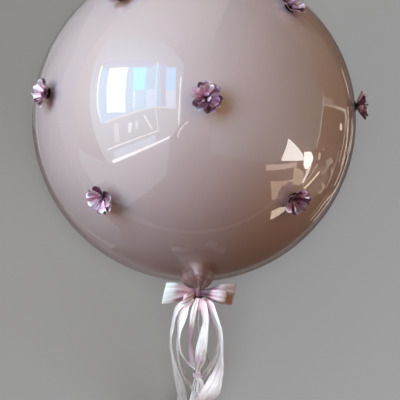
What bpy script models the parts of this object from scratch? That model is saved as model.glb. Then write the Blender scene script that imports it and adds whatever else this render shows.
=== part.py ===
"""Stuffed balloon: a latex balloon sealed inside a clear bubble balloon, with fabric flowers glued to the
bubble and a satin bow with long ribbon ends tied round its neck. It lies on its back on a small flat spot:
+Y runs to the crown, the neck points to -Y and a little up, +Z is the side that faces the viewer. Metres,
origin at the middle of the flat spot. The latex balloon is sealed in, so it has no solid of its own here."""

import math

import bmesh
import bpy
from mathutils import Matrix, Vector

# Driving dimensions
BUBBLE_RADIUS = 0.25
FLAT_DEPTH = 0.004  # how far the film flattens where the bubble rests
NECK_SIDE = 0.006  # the neck sits this far to +X of the bubble's middle
NECK_LIFT = 19.5  # degrees by which the neck rises from level towards the front
NECK_FROM = 6.2  # degrees round the neck's axis where the sphere ends
NECK_SEGMENTS = 40
PLEATS = 10
PLEAT_DEPTH = 0.14  # share of the neck's radius
WAIST_RADIUS = 0.007
NECK_ROWS = (  # the puffed neck: distance from the bubble's middle, radius, share of the pleats
    (0.2500, 0.0250, 0.15),
    (0.2560, 0.0247, 0.30),
    (0.2630, 0.0245, 0.45),
    (0.2695, 0.0222, 0.65),
    (0.2755, 0.0160, 0.85),
    (0.2805, 0.0095, 1.00),
)
WAIST_START, WAIST_END = 0.2880, 0.2960  # distances from the bubble's middle
TAIL_END = 0.2985

FLOWER_GAP = 0.0003
PETALS = 6
SEGMENTS_PER_PETAL = 4
FLOWER_TURN = 23.0  # degrees from one flower's setting to the next

RIBBON_THICKNESS = 0.0008
LAYER = 0.0012  # from one ribbon layer to the next inside a knot
EDGE_TURN = 0.7  # how far an edge may gain or lose on the middle of its ribbon, as a share of the step
WRAP_LENGTH = 0.007  # of the knot, along the bow
LOOP_OPENS = 0.020  # a bow's loop stays flat up to about half of this from the knot
KNOT_OUT = 0.292  # the bow's knot, measured from the bubble's middle along the neck
KNOT_FRONT = 0.0145  # the knot's middle in front of the neck's axis
DROP_REACH = 0.30  # ribbon ends reach the floor this far beyond the knot
FLOOR_GAP = 0.0003

CENTRE = Vector((0.0, 0.0, BUBBLE_RADIUS - FLAT_DEPTH))
NECK_SWING = math.atan2(NECK_SIDE, KNOT_OUT)
NECK_TURN = Matrix.Rotation(math.radians(-NECK_LIFT), 3, "X") @ Matrix.Rotation(NECK_SWING, 3, "Z")
KNOT = CENTRE + NECK_TURN @ Vector((0.0, -KNOT_OUT, KNOT_FRONT))

# Flowers glued on by hand in three rows: latitude towards the crown, longitude from the front towards +X,
# in degrees. The lowest of them stay clear of the floor.
UPPER_ROW = ((38.0, -31.0), (34.5, 42.5), (37.0, 112.0), (35.0, -162.0), (37.5, -112.0))
MIDDLE_ROW = ((4.5, -58.5), (-2.0, 4.0), (3.5, 79.5), (0.0, 147.0), (3.0, -130.0))
LOWER_ROW = ((-33.0, -37.5), (-33.0, 43.0), (-34.0, 133.0), (-32.0, -127.0))


# ---------------------------------------------------------------- helpers


def clear_scene():
    for old in list(bpy.data.objects):
        bpy.data.objects.remove(old, do_unlink=True)


def material(name, colour, roughness, metallic=0.0, alpha=1.0):
    made = bpy.data.materials.new(name)
    made.use_nodes = True
    shader = made.node_tree.nodes["Principled BSDF"]
    shader.inputs["Base Color"].default_value = (*colour, 1.0)
    shader.inputs["Roughness"].default_value = roughness
    shader.inputs["Metallic"].default_value = metallic
    shader.inputs["Alpha"].default_value = alpha
    made.diffuse_color = (*colour, alpha)
    return made


def finished(name, bm, mat, smooth_under=None):
    """The bmesh as an object with one material, its faces facing out."""
    bmesh.ops.recalc_face_normals(bm, faces=bm.faces)
    mesh = bpy.data.meshes.new(name)
    bm.to_mesh(mesh)
    bm.free()
    mesh.materials.append(mat)
    if smooth_under is not None:
        mesh.shade_smooth()
        mesh.set_sharp_from_angle(angle=math.radians(smooth_under))
    made = bpy.data.objects.new(name, mesh)
    bpy.context.scene.collection.objects.link(made)
    return made


def bridge(bm, ring_a, ring_b, closed=True):
    count = len(ring_a)
    for i in range(count if closed else count - 1):
        j = (i + 1) % count
        bm.faces.new((ring_a[i], ring_a[j], ring_b[j], ring_b[i]))


def fan(bm, point, ring):
    tip = bm.verts.new(point)
    for i, corner in enumerate(ring):
        bm.faces.new((tip, ring[(i + 1) % len(ring)], corner))


def smoothstep(u):
    u = min(max(u, 0.0), 1.0)
    return u * u * (3.0 - 2.0 * u)


def spline(points, count):
    """count points along a smooth curve through the given rows of numbers, evenly spaced by length."""
    rows = [Vector(p) for p in points]
    dense = []
    for i in range(len(rows) - 1):
        before = rows[max(i - 1, 0)]
        start, end = rows[i], rows[i + 1]
        after = rows[min(i + 2, len(rows) - 1)]
        for k in range(12):
            t = k / 12
            dense.append(
                0.5
                * (
                    2 * start
                    + (end - before) * t
                    + (2 * before - 5 * start + 4 * end - after) * t * t
                    + (3 * start - before - 3 * end + after) * t ** 3
                )
            )
    dense.append(rows[-1])
    along = [0.0]
    for a, b in zip(dense, dense[1:]):
        along.append(along[-1] + (b.xy - a.xy).length)
    evenly, at = [], 0
    for k in range(count):
        target = along[-1] * k / (count - 1)
        while at < len(dense) - 2 and along[at + 1] < target:
            at += 1
        span = max(along[at + 1] - along[at], 1e-9)
        evenly.append(dense[at].lerp(dense[at + 1], (target - along[at]) / span))
    return evenly


# ---------------------------------------------------------------- bubble


def bubble_profile():
    """(distance along the neck axis from the middle, radius, share of the pleats) from crown to tail."""
    neck_from = math.radians(NECK_FROM)
    steps = 20
    rows = []
    for k in range(steps + 1):
        angle = math.pi + (neck_from - math.pi) * k / steps
        rows.append((BUBBLE_RADIUS * math.cos(angle), BUBBLE_RADIUS * math.sin(angle), 0.0))
    rows.extend(NECK_ROWS)
    rows.append((WAIST_START, WAIST_RADIUS, 1.0))
    rows.append((WAIST_END, WAIST_RADIUS, 0.3))
    rows.append((TAIL_END, WAIST_RADIUS * 0.9, 1.0))
    return rows


def make_bubble(mat):
    bm = bmesh.new()
    rows = bubble_profile()
    rings = []
    for out, radius, pleated in rows[1:]:
        ring = []
        for k in range(NECK_SEGMENTS):
            turn = 2 * math.pi * k / NECK_SEGMENTS
            wide = radius * (1 + PLEAT_DEPTH * pleated * (math.cos(PLEATS * turn) - 1) / 2)
            ring.append(bm.verts.new((wide * math.sin(turn), -out, wide * math.cos(turn))))
        rings.append(ring)
    for a, b in zip(rings, rings[1:]):
        bridge(bm, a, b)
    fan(bm, (0.0, BUBBLE_RADIUS, 0.0), rings[0])
    fan(bm, (0.0, -TAIL_END, 0.0), rings[-1])
    bmesh.ops.rotate(bm, verts=bm.verts, cent=(0, 0, 0), matrix=NECK_TURN)
    bmesh.ops.translate(bm, verts=bm.verts, vec=CENTRE)
    # the flat spot it rests on
    cut = bmesh.ops.bisect_plane(
        bm,
        geom=bm.verts[:] + bm.edges[:] + bm.faces[:],
        plane_co=(0, 0, 0),
        plane_no=(0, 0, -1),
        clear_outer=True,
    )
    rim = [e for e in cut["geom_cut"] if isinstance(e, bmesh.types.BMEdge)]
    bmesh.ops.contextual_create(bm, geom=rim)
    return finished("bubble", bm, mat, 25)


# ---------------------------------------------------------------- flowers


def petal_ring(bm, tip_radius, notch_radius, tip_height, notch_height, shifted):
    """One ring round a flower whose radius and height swell at each petal."""
    count = PETALS * SEGMENTS_PER_PETAL
    ring = []
    for k in range(count):
        turn = 2 * math.pi * k / count
        phase = PETALS * turn + (math.pi if shifted else 0.0)
        full = (0.5 + 0.5 * math.cos(phase)) ** 0.6
        radius = notch_radius + (tip_radius - notch_radius) * full
        height = notch_height + (tip_height - notch_height) * full
        ring.append(bm.verts.new((radius * math.cos(turn), radius * math.sin(turn), height)))
    return ring


def flower_mesh(mat):
    """Two layers of six cupped petals round a deep middle, standing on z = 0 and opening to +Z."""
    bm = bmesh.new()
    rings = [
        petal_ring(bm, 0.0070, 0.0055, 0.0085, 0.0075, False),
        petal_ring(bm, 0.0170, 0.0120, 0.0150, 0.0115, False),
        petal_ring(bm, 0.0090, 0.0080, 0.0062, 0.0060, True),
        petal_ring(bm, 0.0225, 0.0155, 0.0095, 0.0060, True),
        petal_ring(bm, 0.0085, 0.0080, 0.0000, 0.0000, True),
    ]
    for a, b in zip(rings, rings[1:]):
        bridge(bm, a, b)
    fan(bm, (0.0, 0.0, 0.0050), rings[0])
    fan(bm, (0.0, 0.0, 0.0), rings[-1])
    shared = finished("flower", bm, mat, 40)
    mesh = shared.data
    bpy.data.objects.remove(shared, do_unlink=True)
    return mesh


def outward(latitude, longitude):
    up, round_axis = math.radians(latitude), math.radians(longitude)
    return Vector((math.cos(up) * math.sin(round_axis), math.sin(up), math.cos(up) * math.cos(round_axis)))


def make_flowers(mat):
    mesh = flower_mesh(mat)
    number = 0
    for latitude, longitude in UPPER_ROW + MIDDLE_ROW + LOWER_ROW:
        number += 1
        away = outward(latitude, longitude)
        flower = bpy.data.objects.new(f"flower_{number:02d}", mesh)
        turn = Matrix.Rotation(math.radians(FLOWER_TURN * number), 4, "Z")
        place = Matrix.Translation(CENTRE + away * (BUBBLE_RADIUS + FLOWER_GAP))
        flower.matrix_world = place @ away.to_track_quat("Z", "Y").to_matrix().to_4x4() @ turn
        bpy.context.scene.collection.objects.link(flower)


# ---------------------------------------------------------------- ribbons


def bunched(points, sides, widths):
    """The widths, less where a ribbon turns too tightly in its own plane for its inner edge to lie flat."""
    widths = list(widths)
    settled = False
    while not settled:
        settled = True
        for k in range(len(points) - 1):
            run = points[k + 1] - points[k]
            turn = (sides[k + 1] * widths[k + 1] - sides[k] * widths[k]) / 2
            if abs(turn.dot(run)) > EDGE_TURN * run.length_squared:
                widths[k] *= 0.95
                widths[k + 1] *= 0.95
                settled = False
    return widths


def strip(name, rows, across, mat):
    """A ribbon as a thin closed solid. rows are (point, width, roll in degrees); the width runs along
    the across direction, rolled about the ribbon's run."""
    points = [row[0] for row in rows]
    runs, sides = [], []
    for k, (_, _, roll) in enumerate(rows):
        run = (points[min(k + 1, len(points) - 1)] - points[max(k - 1, 0)]).normalized()
        side = (across - run * across.dot(run)).normalized()
        runs.append(run)
        sides.append(Matrix.Rotation(math.radians(roll), 3, run) @ side)
    bm = bmesh.new()
    rings = []
    for point, run, side, width in zip(points, runs, sides, bunched(points, sides, [r[1] for r in rows])):
        face = run.cross(side)
        low = point.z - abs(side.z) * width / 2 - abs(face.z) * RIBBON_THICKNESS / 2
        lifted = point + Vector((0, 0, max(0.0, FLOOR_GAP - low)))
        half_w, half_t = side * width / 2, face * RIBBON_THICKNESS / 2
        corners = (half_w + half_t, half_t - half_w, -half_w - half_t, half_w - half_t)
        rings.append([bm.verts.new(lifted + corner) for corner in corners])
    # both faces are split along the same diagonal, so that a twist leaves the thickness alone
    for a, b in zip(rings, rings[1:]):
        for near, far in ((0, 1), (3, 2)):
            bm.faces.new((a[near], a[far], b[far]))
            bm.faces.new((a[near], b[far], b[near]))
        bm.faces.new((a[1], a[2], b[2], b[1]))
        bm.faces.new((a[3], a[0], b[0], b[3]))
    bm.faces.new(rings[0])
    bm.faces.new(rings[-1])
    return finished(name, bm, mat)


def band(name, middle, axis, across, half_across, half_deep, thickness, length, corner, mat):
    """A closed loop of ribbon round something: a rounded rectangle, extruded along axis."""
    deep = axis.cross(across).normalized()
    bm = bmesh.new()
    loops = []
    for out in (0.0, thickness):
        outline = []
        round_by = corner + out
        for k in range(16):
            turn = 2 * math.pi * (k + 0.5) / 16
            a = math.copysign(half_across - corner, math.cos(turn)) + round_by * math.cos(turn)
            b = math.copysign(half_deep - corner, math.sin(turn)) + round_by * math.sin(turn)
            outline.append(across * a + deep * b)
        for end in (-length / 2, length / 2):
            loops.append([bm.verts.new(middle + p + axis * end) for p in outline])
    inner_low, inner_high, outer_low, outer_high = loops
    bridge(bm, inner_low, inner_high)
    bridge(bm, outer_low, outer_high)
    bridge(bm, inner_low, outer_low)
    bridge(bm, inner_high, outer_high)
    return finished(name, bm, mat, 40)


def loop_rows(reach, towards, front, back, lean, layers, half_knot, half_full, upwards, steps=13):
    """One teardrop loop of a bow, from the knot out and back. front and back are how far its two sides
    swell, lean lifts it off as it runs out, and layers are its heights where it leaves and rejoins."""
    rows = []
    for k in range(steps):
        t = k / (steps - 1)
        share = (1 - math.cos(2 * math.pi * t)) / 2
        out = reach * share
        swell = 1.54 * math.sin(2 * math.pi * t) * share
        if not upwards:
            swell = -swell
        height = swell * (front if swell > 0 else back) * smoothstep(out / LOOP_OPENS)
        height += lean * max(0.0, out - WRAP_LENGTH / 2) + layers[0] + (layers[1] - layers[0]) * t
        spread = smoothstep((out - WRAP_LENGTH / 2) / (0.75 * reach))
        width = 2 * (half_knot + (half_full - half_knot) * spread)
        rows.append((KNOT + towards * out + Vector((0, 0, height)), width, 0.0))
    return rows


def make_bow(name, left, right, base_layer, mat):
    """A bow of one ribbon: out to the left loop's front, back behind, and on round the right loop."""
    down, middle, up = base_layer - LAYER, base_layer, base_layer + LAYER
    rows = loop_rows(**left, layers=(middle, down), upwards=True)
    rows += loop_rows(**right, layers=(down, up), upwards=False)[1:]
    return strip(name, rows, Vector((0, 1, 0)), mat)


def direction(degrees):
    """In the bow's plane, from +X, positive towards the crown."""
    return Vector((math.cos(math.radians(degrees)), math.sin(math.radians(degrees)), 0.0))


def fall(along):
    """The shared fall of the ribbon ends: its height and slope, along beyond the knot. It is level at the
    knot, steepest half way down and flat on the floor."""
    step = 0.001
    height = KNOT.z * (1 - smoothstep(along / DROP_REACH))
    beyond = KNOT.z * (1 - smoothstep((along + step) / DROP_REACH))
    return height, (beyond - height) / step


def drop_at(reach, lift):
    """The point at this reach along -Y that lies lift above the shared fall, square to it."""
    along = reach
    for _ in range(4):
        height, slope = fall(along)
        off = Vector((0.0, slope, 1.0)).normalized() * lift
        along = reach + off.y
    return Vector((0.0, KNOT.y - along, height)) + off


def make_streamer(name, width, route, mat, count=36):
    """One ribbon end. route rows are (reach, x, lift, share of its width, roll in degrees)."""
    rows = []
    for reach, x, lift, share, roll in spline(route, count):
        rows.append((drop_at(reach, lift) + Vector((x, 0, 0)), width * min(share, 1.0), roll))
    return strip(name, rows, Vector((1, 0, 0)), mat)


# Ribbon ends: name, width, and a route of rows (reach beyond the knot, x, lift over the shared fall,
# share of the width that is spread out, roll in degrees). Those that run through the lower tie lie on
# each other there, and the rest pass beside or behind it.
TIE_X, TIE_REACH = 0.006, 0.119
GATHER = 0.005  # how wide a ribbon is where it leaves the knot


def through_tie(layer, width):
    """The two route rows inside the lower tie, at this layer of its four."""
    lift = (layer - 1.5) * LAYER
    share = min(1.0, 0.0090 / width)
    return [(TIE_REACH - 0.006, TIE_X, lift, share, 0), (TIE_REACH + 0.006, TIE_X, lift, share, 0)]


def streamer_routes():
    sheer_left = [
        (0.0085, 0.0, 0.001, GATHER / 0.015, 0),
        (0.0137, -0.008, 0.0022, 0.40, 8),
        (0.019, -0.0195, 0.0018, 0.55, 45),
        (0.0303, -0.0265, -0.001, 0.80, 72),
        (0.0508, -0.0315, -0.003, 1, 78),
        (0.0654, -0.034, -0.004, 1, 78),
        (0.0849, -0.033, -0.004, 1, 68),
        (0.1093, -0.028, -0.004, 1, 48),
        (0.1405, -0.021, -0.004, 1, 15),
        (0.1649, -0.020, -0.004, 1, 0),
        (0.1952, -0.040, -0.002, 1, 0),
        (0.2245, -0.062, 0.0, 1, 0),
        (0.2635, -0.080, 0.001, 1, 0),
        (0.3123, -0.088, 0.001, 1, 8),
        (0.3611, -0.084, 0.001, 1, 0),
    ]
    left_inner = [
        (0.0085, 0.0, -0.0004, GATHER / 0.015, 0),
        (0.0127, -0.0045, -0.0006, 0.45, 0),
        (0.0185, -0.0115, 0.0, 0.75, 0),
        (0.0293, -0.0155, 0.0, 1, 20),
        (0.0371, -0.0175, 0.0, 1, 40),
        (0.0517, -0.021, 0.0, 1, 68),
        (0.0664, -0.0225, 0.0, 1, 74),
        (0.0849, -0.020, 0.0, 0.9, 62),
        (0.0966, -0.014, -0.001, 0.75, 40),
        (0.1054, -0.005, -0.0022, 0.65, 10),
        *through_tie(1, 0.015),
        (0.1327, 0.0025, -0.0010, 0.45, 0),
        (0.1445, 0.0, -0.0024, 0.42, 20),
        (0.1581, -0.0028, -0.001, 0.5, 45),
        (0.1806, -0.008, 0.0, 0.7, 45),
        (0.2098, -0.018, 0.0, 0.9, 10),
        (0.244, -0.0235, 0.001, 1, 0),
        (0.2928, -0.024, 0.001, 1, 0),
        (0.3367, -0.028, 0.001, 1, 0),
    ]
    left_outer = [
        (0.0085, 0.0, -0.0018, GATHER / 0.008, 0),
        (0.0146, -0.0085, -0.004, 0.8, 0),
        (0.0293, -0.0145, -0.008, 1, 30),
        (0.0468, -0.020, -0.013, 1, 50),
        (0.0722, -0.024, -0.016, 1, 62),
        (0.0927, -0.0235, -0.017, 1, 55),
        (0.1113, -0.020, -0.018, 1, 35),
        (0.1288, -0.013, -0.018, 1, 20),
        (0.1415, -0.005, -0.018, 1, 20),
        (0.1571, 0.004, -0.018, 1, 20),
        (0.1806, 0.017, -0.016, 1, 15),
        (0.1952, 0.025, -0.012, 1, 10),
        (0.2098, 0.032, -0.008, 1, 0),
        (0.244, 0.044, -0.001, 1, 0),
        (0.2928, 0.048, 0.001, 1, 0),
        (0.3416, 0.053, 0.001, 1, 0),
        (0.3758, 0.060, 0.001, 1, 0),
    ]
    mauve = [
        (0.0085, 0.006, 0.001, GATHER / 0.008, 0),
        (0.0205, 0.002, 0.001, 0.9, 0),
        (0.0342, -0.001, 0.001, 1, 0),
        (0.0478, -0.003, 0.001, 1, 10),
        (0.0634, -0.005, 0.001, 1, 35),
        (0.0771, -0.0045, 0.001, 1, 20),
        (0.0927, -0.003, 0.002, 1, 0),
        (0.1054, 0.0, 0.0014, 1, 0),
        *through_tie(2, 0.008),
        (0.1327, 0.0068, 0.0007, 0.9, 0),
        (0.1445, 0.0066, 0.0014, 1, 10),
        (0.1581, 0.0080, 0.002, 1, 50),
        (0.1806, 0.005, 0.001, 1, 60),
        (0.2098, 0.002, 0.001, 1, 20),
        (0.244, -0.001, 0.001, 1, 0),
        (0.2928, -0.001, 0.001, 1, 0),
        (0.3318, -0.001, 0.001, 1, 0),
    ]
    thin_middle = [
        (0.0085, 0.006, -0.0004, 1, 0),
        (0.0156, 0.006, -0.001, 1, 0),
        (0.0234, 0.006, -0.003, 1, 35),
        (0.0322, 0.007, -0.007, 1, 60),
        (0.041, 0.0055, -0.009, 1, 60),
        (0.0527, 0.007, -0.010, 1, 60),
        (0.0634, 0.009, -0.010, 1, 50),
        (0.0781, 0.010, -0.010, 1, 30),
        (0.0976, 0.010, -0.008, 1, 10),
        (0.1054, 0.008, -0.005, 1, 0),
        *through_tie(0, 0.005),
        (0.1327, 0.0130, -0.002, 1, 20),
        (0.1435, 0.017, -0.004, 1, 40),
        (0.1581, 0.019, -0.004, 1, 40),
        (0.1806, 0.026, -0.003, 1, 20),
        (0.2098, 0.033, -0.002, 1, 0),
        (0.244, 0.0360, 0.0, 1, 0),
        (0.2928, 0.038, 0.001, 1, 0),
    ]
    centre = [
        (0.0085, 0.012, 0.001, GATHER / 0.017, 0),
        (0.0176, 0.0132, 0.0025, 0.70, 22),
        (0.0322, 0.0165, 0.003, 1, 50),
        (0.0468, 0.0175, 0.004, 1, 62),
        (0.0595, 0.0155, 0.005, 1, 50),
        (0.0761, 0.0125, 0.005, 1, 30),
        (0.0908, 0.0105, 0.006, 1, 5),
        (0.0986, 0.0095, 0.007, 0.90, 15),
        (0.1054, 0.008, 0.0055, 0.70, 5),
        *through_tie(3, 0.017),
        (0.1327, 0.0110, 0.0045, 0.5, 8),
        (0.1435, 0.0137, 0.006, 0.5, 45),
        (0.1581, 0.0135, 0.004, 0.5, 74),
        (0.1806, 0.014, 0.003, 0.6, 55),
        (0.2098, 0.0175, 0.002, 0.8, 15),
        (0.244, 0.021, 0.001, 1, 0),
        (0.2928, 0.022, 0.001, 1, 0),
        (0.3416, 0.025, 0.001, 1, 0),
    ]
    right_inner = [
        (0.0085, 0.012, -0.0004, GATHER / 0.008, 0),
        (0.0185, 0.0195, -0.002, 0.8, 30),
        (0.0293, 0.024, -0.006, 1, 40),
        (0.0371, 0.027, -0.009, 1, 45),
        (0.0547, 0.034, -0.012, 1, 45),
        (0.0664, 0.037, -0.013, 1, 55),
        (0.0791, 0.036, -0.013, 1, 60),
        (0.0888, 0.034, -0.013, 1, 55),
        (0.1015, 0.029, -0.012, 1, 45),
        (0.1103, 0.0245, -0.012, 1, 35),
        (0.1171, 0.020, -0.012, 1, 30),
        (0.1366, 0.010, -0.012, 1, 25),
        (0.1562, 0.002, -0.011, 1, 25),
        (0.1806, -0.004, -0.009, 1, 20),
        (0.2098, -0.009, -0.005, 1, 0),
        (0.244, -0.011, 0.001, 1, 0),
        (0.2928, -0.011, 0.001, 1, 0),
        (0.3416, -0.014, 0.001, 1, 0),
    ]
    right_outer = [
        (0.0085, 0.0125, -0.0016, GATHER / 0.026, 0),
        (0.0130, 0.0180, -0.0042, 0.28, 20),
        (0.0185, 0.0265, 0.0, 0.45, 55),
        (0.0293, 0.031, 0.004, 0.65, 62),
        (0.0371, 0.034, 0.005, 0.80, 64),
        (0.0547, 0.0385, 0.006, 1, 70),
        (0.0712, 0.0405, 0.006, 1, 76),
        (0.0878, 0.0415, 0.006, 1, 78),
        (0.1064, 0.041, 0.007, 1, 73),
        (0.1191, 0.038, 0.007, 1, 64),
        (0.1318, 0.0335, 0.011, 1, 48),
        (0.1435, 0.028, 0.015, 1, 26),
        (0.1562, 0.019, 0.017, 1, 10),
        (0.1708, 0.008, 0.016, 1, 0),
        (0.1952, -0.014, 0.011, 1, 0),
        (0.2245, -0.036, 0.006, 1, 0),
        (0.2538, -0.048, 0.002, 1, 0),
        (0.3026, -0.053, 0.001, 1, 5),
        (0.3514, -0.058, 0.001, 1, 0),
        (0.3904, -0.056, 0.001, 1, 0),
    ]
    thin_right = [
        (0.0085, 0.006, -0.0018, 1, 0),
        (0.0137, 0.0095, -0.0024, 1, 0),
        (0.0195, 0.0115, -0.0045, 1, 5),
        (0.0273, 0.0145, -0.008, 1, 30),
        (0.039, 0.016, -0.014, 1, 50),
        (0.0586, 0.017, -0.016, 1, 50),
        (0.0781, 0.0165, -0.018, 1, 50),
        (0.1015, 0.021, -0.022, 1, 50),
        (0.121, 0.0255, -0.022, 1, 50),
        (0.1347, 0.0245, -0.022, 1, 40),
        (0.1484, 0.022, -0.022, 1, 20),
        (0.1708, 0.019, -0.024, 1, 10),
        (0.1903, 0.014, -0.023, 1, 0),
        (0.2147, 0.0095, -0.012, 1, 0),
        (0.244, 0.007, -0.001, 1, 0),
        (0.2928, 0.007, 0.001, 1, 0),
        (0.3318, 0.008, 0.001, 1, 0),
    ]
    return (
        ("streamer_left_sheer", 0.015, sheer_left),
        ("streamer_left_inner", 0.015, left_inner),
        ("streamer_left_outer", 0.008, left_outer),
        ("streamer_mauve", 0.008, mauve),
        ("streamer_thin_middle", 0.005, thin_middle),
        ("streamer_centre", 0.017, centre),
        ("streamer_right_inner", 0.008, right_inner),
        ("streamer_right_outer", 0.026, right_outer),
        ("streamer_thin_right", 0.005, thin_right),
    )


def make_ties(satin):
    """The wrap of the bow's knot, the band round the neck behind it, and the lower tie."""
    x_axis, y_axis = Vector((1, 0, 0)), Vector((0, 1, 0))
    stack = KNOT + Vector((0, 0, 1.5 * LAYER))
    band("bow_wrap", stack, x_axis, y_axis, 0.0062, 0.0045, 0.001, WRAP_LENGTH, 0.0015, satin)
    neck_run = NECK_TURN @ y_axis
    waist = CENTRE - neck_run * (WAIST_START + WAIST_END) / 2
    inner = WAIST_RADIUS + FLOWER_GAP
    width = WAIST_END - WAIST_START - 0.003
    band("neck_tie", waist, neck_run, NECK_TURN @ x_axis, inner, inner, 0.0014, width, inner, satin)
    slope = fall(TIE_REACH)[1]
    run = Vector((0, -1, slope)).normalized()
    middle = drop_at(TIE_REACH, 0.0) + Vector((TIE_X, 0, 0))
    band("lower_tie", middle, run, x_axis, 0.0065, 0.0032, 0.001, 0.013, 0.002, satin)


def main():
    clear_scene()
    film = material("clear_film", (0.93, 0.90, 0.90), 0.04, alpha=0.35)
    petal = material("petal", (0.32, 0.16, 0.28), 0.30)
    satin = material("satin", (0.78, 0.62, 0.72), 0.35)
    white = material("white_satin", (0.86, 0.82, 0.86), 0.35)
    make_bubble(film)
    make_flowers(petal)
    wide = {"front": 0.0015, "back": 0.011, "lean": 0.0, "half_knot": 0.0048, "half_full": 0.0155}
    make_bow(
        "bow_back",
        {"reach": 0.049, "towards": direction(181), **wide},
        {"reach": 0.053, "towards": direction(-3), **wide},
        0.0,
        satin,
    )
    small = {"front": 0.008, "back": 0.001, "lean": 0.22, "half_knot": 0.0036}
    make_bow(
        "bow_front",
        {"reach": 0.025, "towards": direction(208), "half_full": 0.0070, **small},
        {"reach": 0.042, "towards": direction(-9), "half_full": 0.0085, **small},
        3 * LAYER,
        satin,
    )
    make_ties(satin)
    for name, width, route in streamer_routes():
        make_streamer(name, width, route, white)


main()
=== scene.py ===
import bmesh
import bpy
import math
from mathutils import Matrix, Vector, noise


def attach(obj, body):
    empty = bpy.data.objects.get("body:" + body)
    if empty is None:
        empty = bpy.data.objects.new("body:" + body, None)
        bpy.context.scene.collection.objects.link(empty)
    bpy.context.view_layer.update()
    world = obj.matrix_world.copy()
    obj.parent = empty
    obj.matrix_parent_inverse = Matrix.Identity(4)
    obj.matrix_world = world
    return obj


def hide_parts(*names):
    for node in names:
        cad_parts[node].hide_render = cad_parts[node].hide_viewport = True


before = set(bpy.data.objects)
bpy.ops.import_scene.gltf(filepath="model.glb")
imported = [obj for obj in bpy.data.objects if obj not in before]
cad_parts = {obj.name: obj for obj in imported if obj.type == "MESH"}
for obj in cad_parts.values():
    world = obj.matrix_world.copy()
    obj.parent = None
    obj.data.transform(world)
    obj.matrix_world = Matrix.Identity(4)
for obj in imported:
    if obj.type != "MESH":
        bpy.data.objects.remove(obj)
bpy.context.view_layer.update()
print("frame loaded:", len(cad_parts), "solids")

# camera, level with nothing but the floor: it looks down on the balloon's front
cameraValues = {"place": (0.00932, -0.352, 2.42112), "elevation": 84.0, "lens": 127.47, "sensor": 36.0}
bpy.ops.object.camera_add(
    location=cameraValues["place"], rotation=(math.radians(90 - cameraValues["elevation"]), 0, 0)
)
camera = bpy.context.object
camera.name = "studioCamera"
camera.data.lens = cameraValues["lens"]
camera.data.sensor_width = cameraValues["sensor"]
camera.data.clip_end = 60
bpy.context.scene.camera = camera
print("camera placed")

# the balloon's main sizes, as in its solids
balloon = {
    "radius": 0.25,
    "flat": 0.004,
    "neckSide": 0.006,
    "neckLift": 19.5,
    "knotOut": 0.292,
    "knotFront": 0.0145,
}
centre = Vector((0, 0, balloon["radius"] - balloon["flat"]))
neckTurn = Matrix.Rotation(math.radians(-balloon["neckLift"]), 3, "X") @ Matrix.Rotation(
    math.atan2(balloon["neckSide"], balloon["knotOut"]), 3, "Z"
)
neckKnot = centre - neckTurn @ Vector((0, balloon["knotOut"], 0))  # where the neck is tied
knot = centre + neckTurn @ Vector((0, -balloon["knotOut"], balloon["knotFront"]))  # the bow's own


# ---- small helpers


def pickOnly(piece):
    bpy.ops.object.select_all(action="DESELECT")
    piece.select_set(True)
    bpy.context.view_layer.objects.active = piece


def applyPlace(piece):
    pickOnly(piece)
    bpy.ops.object.transform_apply(location=True, rotation=True, scale=True)


def addModifier(piece, kind, **values):
    pickOnly(piece)
    modifier = piece.modifiers.new(kind.title(), kind)
    for name, value in values.items():
        setattr(modifier, name, value)
    bpy.ops.object.modifier_apply(modifier=modifier.name)


def recalculate(piece):
    pickOnly(piece)
    bpy.ops.object.mode_set(mode="EDIT")
    bpy.ops.mesh.select_all(action="SELECT")
    bpy.ops.mesh.remove_doubles(threshold=1e-6)
    bpy.ops.mesh.normals_make_consistent(inside=False)
    bpy.ops.object.mode_set(mode="OBJECT")


def smoothUnder(piece, degrees):
    pickOnly(piece)
    bpy.ops.object.shade_smooth_by_angle(angle=math.radians(degrees))


def dress(piece, material, slotName, *nodes):
    piece.data.materials.clear()
    piece.data.materials.append(material)
    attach(piece, "root")
    if nodes:
        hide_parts(*nodes)
    return piece


def smoothStep(u):
    u = min(max(u, 0.0), 1.0)
    return u * u * (3 - 2 * u)


# ---- materials


def plug(tree, value, socket):
    # value is another node's output or a plain value
    if isinstance(value, bpy.types.NodeSocket):
        tree.links.new(value, socket)
    else:
        socket.default_value = value


def node(tree, kind, place=(0, 0), **values):
    # values are the node's settings, or its inputs with _ for each space
    made = tree.nodes.new(kind)
    made.location = place
    for name, value in values.items():
        if hasattr(made, name):
            setattr(made, name, value)
        else:
            plug(tree, value, made.inputs[name.replace("_", " ")])
    return made


def maths(tree, operation, place, *values, kind="ShaderNodeMath", **named):
    made = node(tree, kind, place, operation=operation, **named)
    for value, socket in zip(values, made.inputs):
        plug(tree, value, socket)
    return made.outputs["Value" if operation in ("DOT_PRODUCT", "DISTANCE") else 0]


def mixed(tree, place, factor, first, second, **settings):
    made = node(tree, "ShaderNodeMix", place, data_type="RGBA", **settings)
    for value, number in ((factor, 0), (first, 6), (second, 7)):  # a Mix node's colour sockets
        plug(tree, value, made.inputs[number])
    return made.outputs[2]


def ramp(tree, place, factor, stops):
    made = node(tree, "ShaderNodeValToRGB", place, Fac=factor)
    elements = made.color_ramp.elements
    while len(elements) < len(stops):
        elements.new(0.5)
    for element, (position, colour) in zip(elements, stops):
        element.position = position
        element.color = (*colour, 1)
    return made.outputs["Color"]


def roughen(tree, shader, height, strength, distance, **below):
    deep = {"Strength": strength, "Distance": distance, "Height": height}
    bump = node(tree, "ShaderNodeBump", (-300, -200), **deep, **below)
    plug(tree, bump.outputs["Normal"], shader.inputs["Normal"])


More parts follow.
